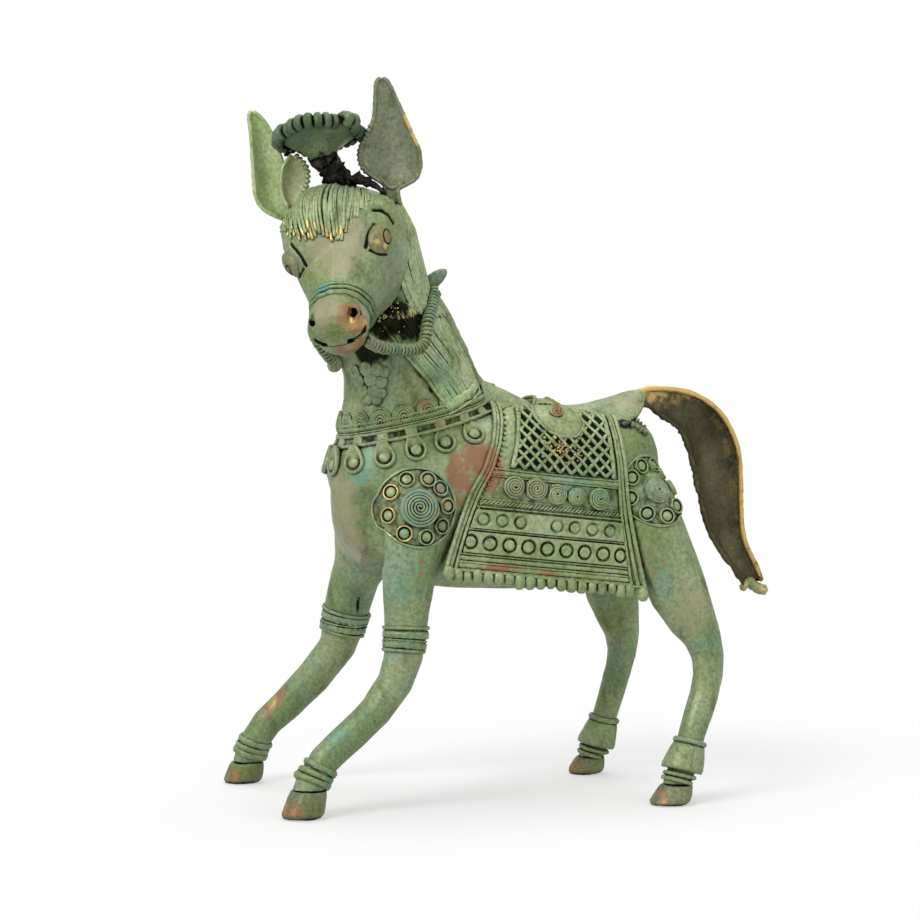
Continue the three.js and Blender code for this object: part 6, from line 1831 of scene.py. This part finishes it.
# Two lips curl out of the tip: steps from it
TIP_FLARE = ((1, -1.5, 2), (2, 0.5, -0.5), (2.4, 3.4, -2.2), (2.4, 5.8, -2.6))
TIP_CURL = ((1, -2, 1), (2, -3.6, -0.6), (2.4, -5.0, -1.6))


def tail_grid(inset):
    """The channel's face, set so far into its wall."""
    table = smooth_line(TAIL, 1.6)
    middle = np.stack([np.full(len(table), TAIL_X), table[:, 0], table[:, 1]], 1)
    along = unit(np.gradient(middle, axis=0))
    leftward = np.array((1.0, 0, 0))
    across = np.cross(leftward, along)
    turn = np.linspace(-1.45, 1.45, 25)
    half = table[:, 2][:, None]
    spread = half * np.sin(turn)
    depth = -TAIL_CUP * half * np.cos(turn) - inset
    return (middle[:, None] + across[:, None] * spread[..., None] + leftward * depth[..., None]) * MM


tail_inside = tail_grid(0)
tail_middle = tail_grid(TAIL_WALL)
tail_outside = tail_grid(2 * TAIL_WALL)
tail_step = np.array((-TAIL_WALL * MM, 0, 0))
hollow_leaf = Wax(171)
tall, wide = tail_inside.shape[:2]
down, over = np.meshgrid(np.linspace(0, 1, tall), np.linspace(0, 1, wide), indexing="ij")
scuffed = np.clip((over - 0.45) * 1.6, 0, 1) * 0.75 + np.clip(0.26 - down, 0, 0.2) * 3.2
hollow_leaf.plate(tail_inside, tail_middle, np.outer(np.clip(scuffed, 0, 0.8).ravel(), (0.75, 0.25, 0, 0)))
gold_run = np.clip(np.linspace(1.3, 0.75, tall), 0, 1)
hollow_leaf.thread(tail_inside[:, -1] + tail_step, 1.35, stain=np.outer(gold_run, RUBBED), wobble=0.05)
hollow_leaf.thread(tail_inside[:, 0] + tail_step, 1.1, stain=(0.1, 0, 0, 0), wobble=0.2)
tail_bronze = green_brass(
    "tail_bronze", green=(0.062, 0.050, 0.021), sage=(0.105, 0.090, 0.040), deep=(0.024, 0.020, 0.012),
    yellow=0.15, blue=0.0, shift=3.9, folds=(6, 0.55, 0.2), wear=0.5, metal=0.45, bump=0.8)
hollow_mesh = hollow_leaf.mesh("tail_hollow")
roughened(hollow_mesh, 0.25, 140, 0.25, PIT_SCALE)
seat_piece("cast_tail_hollow", hollow_mesh, tail_bronze, "dark_bronze", "tail")
back_leaf = Wax(172)
back_leaf.plate(tail_middle, tail_outside)
tip = Vector(tail_middle[-1, wide // 2])
for steps, thick, stain in ((TIP_FLARE, 2.4, (0.4, 0.1, 0, 0)), (TIP_CURL, 1.9, (0.35, 0, 0, 0.6))):
    lip = smooth_line([tip + Vector(step) * MM for step in steps], 0.8 * MM)
    back_leaf.thread(lip, thick, sides=12, stain=stain, wobble=0.08)
tail_green = green_brass("tail_green", yellow=0.4, blue=0.2, shift=4.4, wear=0.5)
seat_piece("cast_tail_back", back_leaf.mesh("tail_back"), tail_green, "dark_bronze", "tail")


# Leg bands: wax threads wound round the forelegs at the knee and above the hoof. At the knee two of them
# are flattened to straps, and a row of short dashes is pressed on below each.
BAND_TILT = 0.7
# A ring is looked for from so far outside the leg and so far in; where there is no skin it is so wide
LIMB_OUT = 0.018
LIMB_REACH = 0.03
LIMB_HALF = 0.007
# Threads: drop from the top one, thickness, width for its thickness
KNEE_THREADS = ((0, 0.8, 1), (2.6, 0.75, 2.3), (5.0, 0.6, 1), (7.0, 0.75, 2.3), (9.2, 0.85, 1))
KNEE_DASHES = (3.8, 5.9)
FETLOCK_THREADS = ((0, 1.0, 1.5), (2.4, 0.9, 1.6), (4.8, 1.1, 1.5))
skin_rows = points_of(body_mesh) / MM


def limb_middle(side, fore, high):
    """The middle of one leg at a height."""
    limb = skin_rows[(np.sign(skin_rows[:, 0]) == side) & ((skin_rows[:, 1] < 0) == fore)]
    high = max(high, limb[:, 2].min() + 1)
    return Vector(limb[abs(limb[:, 2] - high) < 1.2].mean(0)) * MM


def limb_ring(side, fore, high, lift, steps=44):
    """A ring of places round a leg, nearly square to its run, with the ways out, and its axis."""
    middle = limb_middle(side, fore, high)
    axis = (limb_middle(side, fore, high + 5) - limb_middle(side, fore, high - 5)).normalized()
    axis = (axis * BAND_TILT + UP * (1 - BAND_TILT)).normalized()
    across, ahead, axis = square_axes(axis)
    ring = []
    for a in turns_of(steps):
        out = across * math.cos(a) + ahead * math.sin(a)
        hit = body_tree.ray_cast(middle + out * LIMB_OUT, -out, LIMB_REACH)[0]
        if hit is None:
            hit = middle + out * LIMB_HALF
        ring.append((hit + out * lift * MM, out))
    return ring, axis


def wind(wax, side, fore, high, thick, lift=0.35, wide=1.0):
    wax.lay(limb_ring(side, fore, high, lift)[0], thick, closed=True, wide=wide)


def dashes(wax, side, high, count):
    ring, axis = limb_ring(side, True, high, 0.8, count)
    for at, out in ring:
        wax.bead(at, (out.cross(axis), axis, out), (1.1, 0.42, 0.4), sides=8, rows=5)


band_brass = green_brass(
    "band_brass", yellow=0.4, blue=0.4, shift=2.1, folds=(1.6, 0.78, 0.38), wear=0.5)
for word, side, top in (("left", LEFT, 75.0), ("right", RIGHT, 75.6)):
    knee = Wax(181)
    for drop, thick, wide in KNEE_THREADS:
        wind(knee, side, True, top - drop, thick, wide=wide)
    for drop in KNEE_DASHES:
        dashes(knee, side, top - drop, 22)
    cast(f"{word}_knee_band", knee, band_brass, (0.3, 200, 0.1, 600))
for word, side, top in (("left", LEFT, 19.6), ("right", RIGHT, 18.0)):
    fetlock = Wax(182)
    for drop, thick, wide in FETLOCK_THREADS:
        wind(fetlock, side, True, top - drop, thick, wide=wide, lift=0.4)
    fetlock_mesh = fetlock.mesh(f"{word}_fetlock_band")
    roughened(fetlock_mesh, 0.5, 200, 0.15, 600)
    seat_piece(f"cast_{word}_fetlock_band", fetlock_mesh, band_brass, "patina_brass",
               f"{word}_fore_fetlock_band")


# Hind anklets: a bell of wax sheet flaring over each hind fetlock, held by a ring above, with two thin
# rings below it. The bell's lower edge was nicked all round with a knife.
BELL_STEPS = 60
BELL_NICK = 0.35


def bell(wax, side, top, foot, flare):
    """A flaring sleeve round a hind leg."""
    outer = []
    inner = []
    for share in np.linspace(0, 1, 9):
        high = top + (foot - top) * share
        spread = 0.9 + flare * share ** 0.7 - (0.5 if share == 1 else 0)
        nick = BELL_NICK if share == 1 else 0
        ring = limb_ring(side, False, high, spread, BELL_STEPS)[0]
        outer.append([at - UP * nick * (k % 2) * MM for k, (at, _) in enumerate(ring + ring[:1])])
        ring = limb_ring(side, False, high, -0.4 + flare * max(0, share - 0.4), BELL_STEPS)[0]
        inner.append([at for at, _ in ring + ring[:1]])
    wax.plate(outer, inner)


for word, side, top in (("left", LEFT, 25.0), ("right", RIGHT, 24.4)):
    cuff = Wax(191)
    wind(cuff, side, False, top, 1.25, lift=0.5)
    bell(cuff, side, top - 1, top - 11.4, 2.4)
    cast(f"{word}_hind_cuff", cuff, band_brass)
    anklet = Wax(192)
    for drop in (13.6, 15.3):
        wind(anklet, side, False, top - drop, 0.95, lift=0.6)
    cast(f"{word}_hind_anklet", anklet, band_brass)


# Hooves: solid knobs of wax pressed flat underneath where the horse stands, rubbed brown and golden at the
# toe by years of being set down.
hoof_brass = green_brass(
    "hoof_brass", green=(0.150, 0.180, 0.080), sage=(0.23, 0.245, 0.125), yellow=0.4, blue=0.1, shift=7.9,
    folds=(3, 0.6, 0.25), wear=0.6)
HOOF_VOXEL = 0.5 * MM
OCHRE = (0.3, 0.5, 0, 0.2)
# Each: hoof, its toe
HOOVES = (("left_fore", (41, -105, 4)), ("right_fore", (-48, -111, 4)), ("left_hind", (53, 47, 3)),
          ("right_hind", (-29, 38, 3)))
for word, toe in HOOVES:
    hoof_mesh = recast((f"{word}_hoof",), HOOF_VOXEL, 16, 0.6, 0.2)
    set_stain(hoof_mesh, stain_of(points_of(hoof_mesh), ((toe, (9, 8, 5), OCHRE, 1.0),)))
    seat_piece(f"cast_{word}_hoof", hoof_mesh, hoof_brass, "worn_brass", f"{word}_hoof")


# Studio: a pale seamless floor and soft lights, with the camera where the photograph was taken from.
# Floor and world are white to the camera and in mirrored light, and dimmer where they light the horse.
CAMERA_LENS = 107.2
CAMERA_SENSOR = 36
FLOOR_HALF = 4.0
FLOOR_WHITE = (0.96, 0.96, 0.96, 1)
FLOOR_BOUNCE = (0.55, 0.55, 0.55, 1)
FLOOR_SHADOWED = (0.1, 0.3)
WORLD_LIGHT = 0.5
camera = bpy.data.objects.new("camera", bpy.data.cameras.new("camera"))
bpy.context.scene.collection.objects.link(camera)
camera.location = CAMERA_AT
camera.rotation_euler = CAMERA_TURN
camera.data.lens = CAMERA_LENS
camera.data.sensor_width = CAMERA_SENSOR
bpy.context.scene.camera = camera
bpy.context.scene.view_settings.view_transform = "Standard"

floor_mesh = bpy.data.meshes.new("floor")
corners = [(x * FLOOR_HALF, y * FLOOR_HALF, -0.0002) for x, y in ((-1, -1), (1, -1), (1, 1), (-1, 1))]
floor_mesh.from_pydata(corners, [], [(0, 1, 2, 3)])
floor = bpy.data.objects.new("floor", floor_mesh)
bpy.context.scene.collection.objects.link(floor)
floor_paint = bpy.data.materials.new("floor_paint")
floor_paint.use_nodes = True
floor_tree = floor_paint.node_tree
floor_surface = floor_tree.nodes["Principled BSDF"]
floor_surface.inputs["Roughness"].default_value = 0.9
floor_surface.inputs["Specular IOR Level"].default_value = 0.1
floor_away = put(floor_tree, "ShaderNodeVectorMath", ((0, own_place(floor_tree)),), operation="LENGTH")


def background_rays(tree):
    """The rays that should meet a white background: the camera's, and those that metal or glass sends on."""
    rays = put(tree, "ShaderNodeLightPath").outputs
    return most(tree, most(tree, rays["Is Camera Ray"], rays["Is Glossy Ray"]), rays["Is Transmission Ray"])


floor_rays = background_rays(floor_tree)
floor_tone = blend(floor_tree, floor_rays, FLOOR_BOUNCE, FLOOR_WHITE)
floor_tree.links.new(floor_tone, floor_surface.inputs["Base Color"])
floor_lit = ramp(floor_tree, floor_away.outputs["Value"], *FLOOR_SHADOWED, 0.45, 1.0)
floor_fade = times(floor_tree, floor_lit, floor_rays)
floor_glow = put(floor_tree, "ShaderNodeEmission", (("Color", (1, 1, 1, 1)), ("Strength", 1.0)))
floor_mix = put(floor_tree, "ShaderNodeMixShader", (
    (0, floor_fade), (1, floor_surface.outputs[0]), (2, floor_glow.outputs[0])))
floor_tree.links.new(floor_mix.outputs[0], floor_tree.nodes["Material Output"].inputs["Surface"])
floor_mesh.materials.append(floor_paint)


def soft_light(name, place, aim, size, power):
    """A round soft box turned to the horse."""
    lamp = bpy.data.lights.new(name, "AREA")
    lamp.shape = "DISK"
    lamp.size = size
    lamp.energy = power
    holder = bpy.data.objects.new(name, lamp)
    holder.location = place
    holder.rotation_euler = (Vector(aim) - Vector(place)).to_track_quat("-Z", "Y").to_euler()
    bpy.context.scene.collection.objects.link(holder)


AIM = (0.0, -0.02, 0.14)
soft_light("key_light", (0.75, -1.15, 1.25), AIM, 0.9, 14)
soft_light("fill_light", (1.5, 0.9, 0.8), AIM, 1.4, 4)
soft_light("top_light", (-0.3, 0.2, 1.7), AIM, 1.2, 8.5)
world = bpy.data.worlds.new("studio")
world.use_nodes = True
bpy.context.scene.world = world
world_tree = world.node_tree
seen = background_rays(world_tree)
world_values = (("Value", seen), ("To Min", WORLD_LIGHT), ("To Max", 1.0))
world_light = put(world_tree, "ShaderNodeMapRange", world_values)
world_tree.links.new(world_light.outputs["Result"], world_tree.nodes["Background"].inputs["Strength"])
world_tree.nodes["Background"].inputs["Color"].default_value = (1, 1, 1, 1)

bpy.context.view_layer.update()
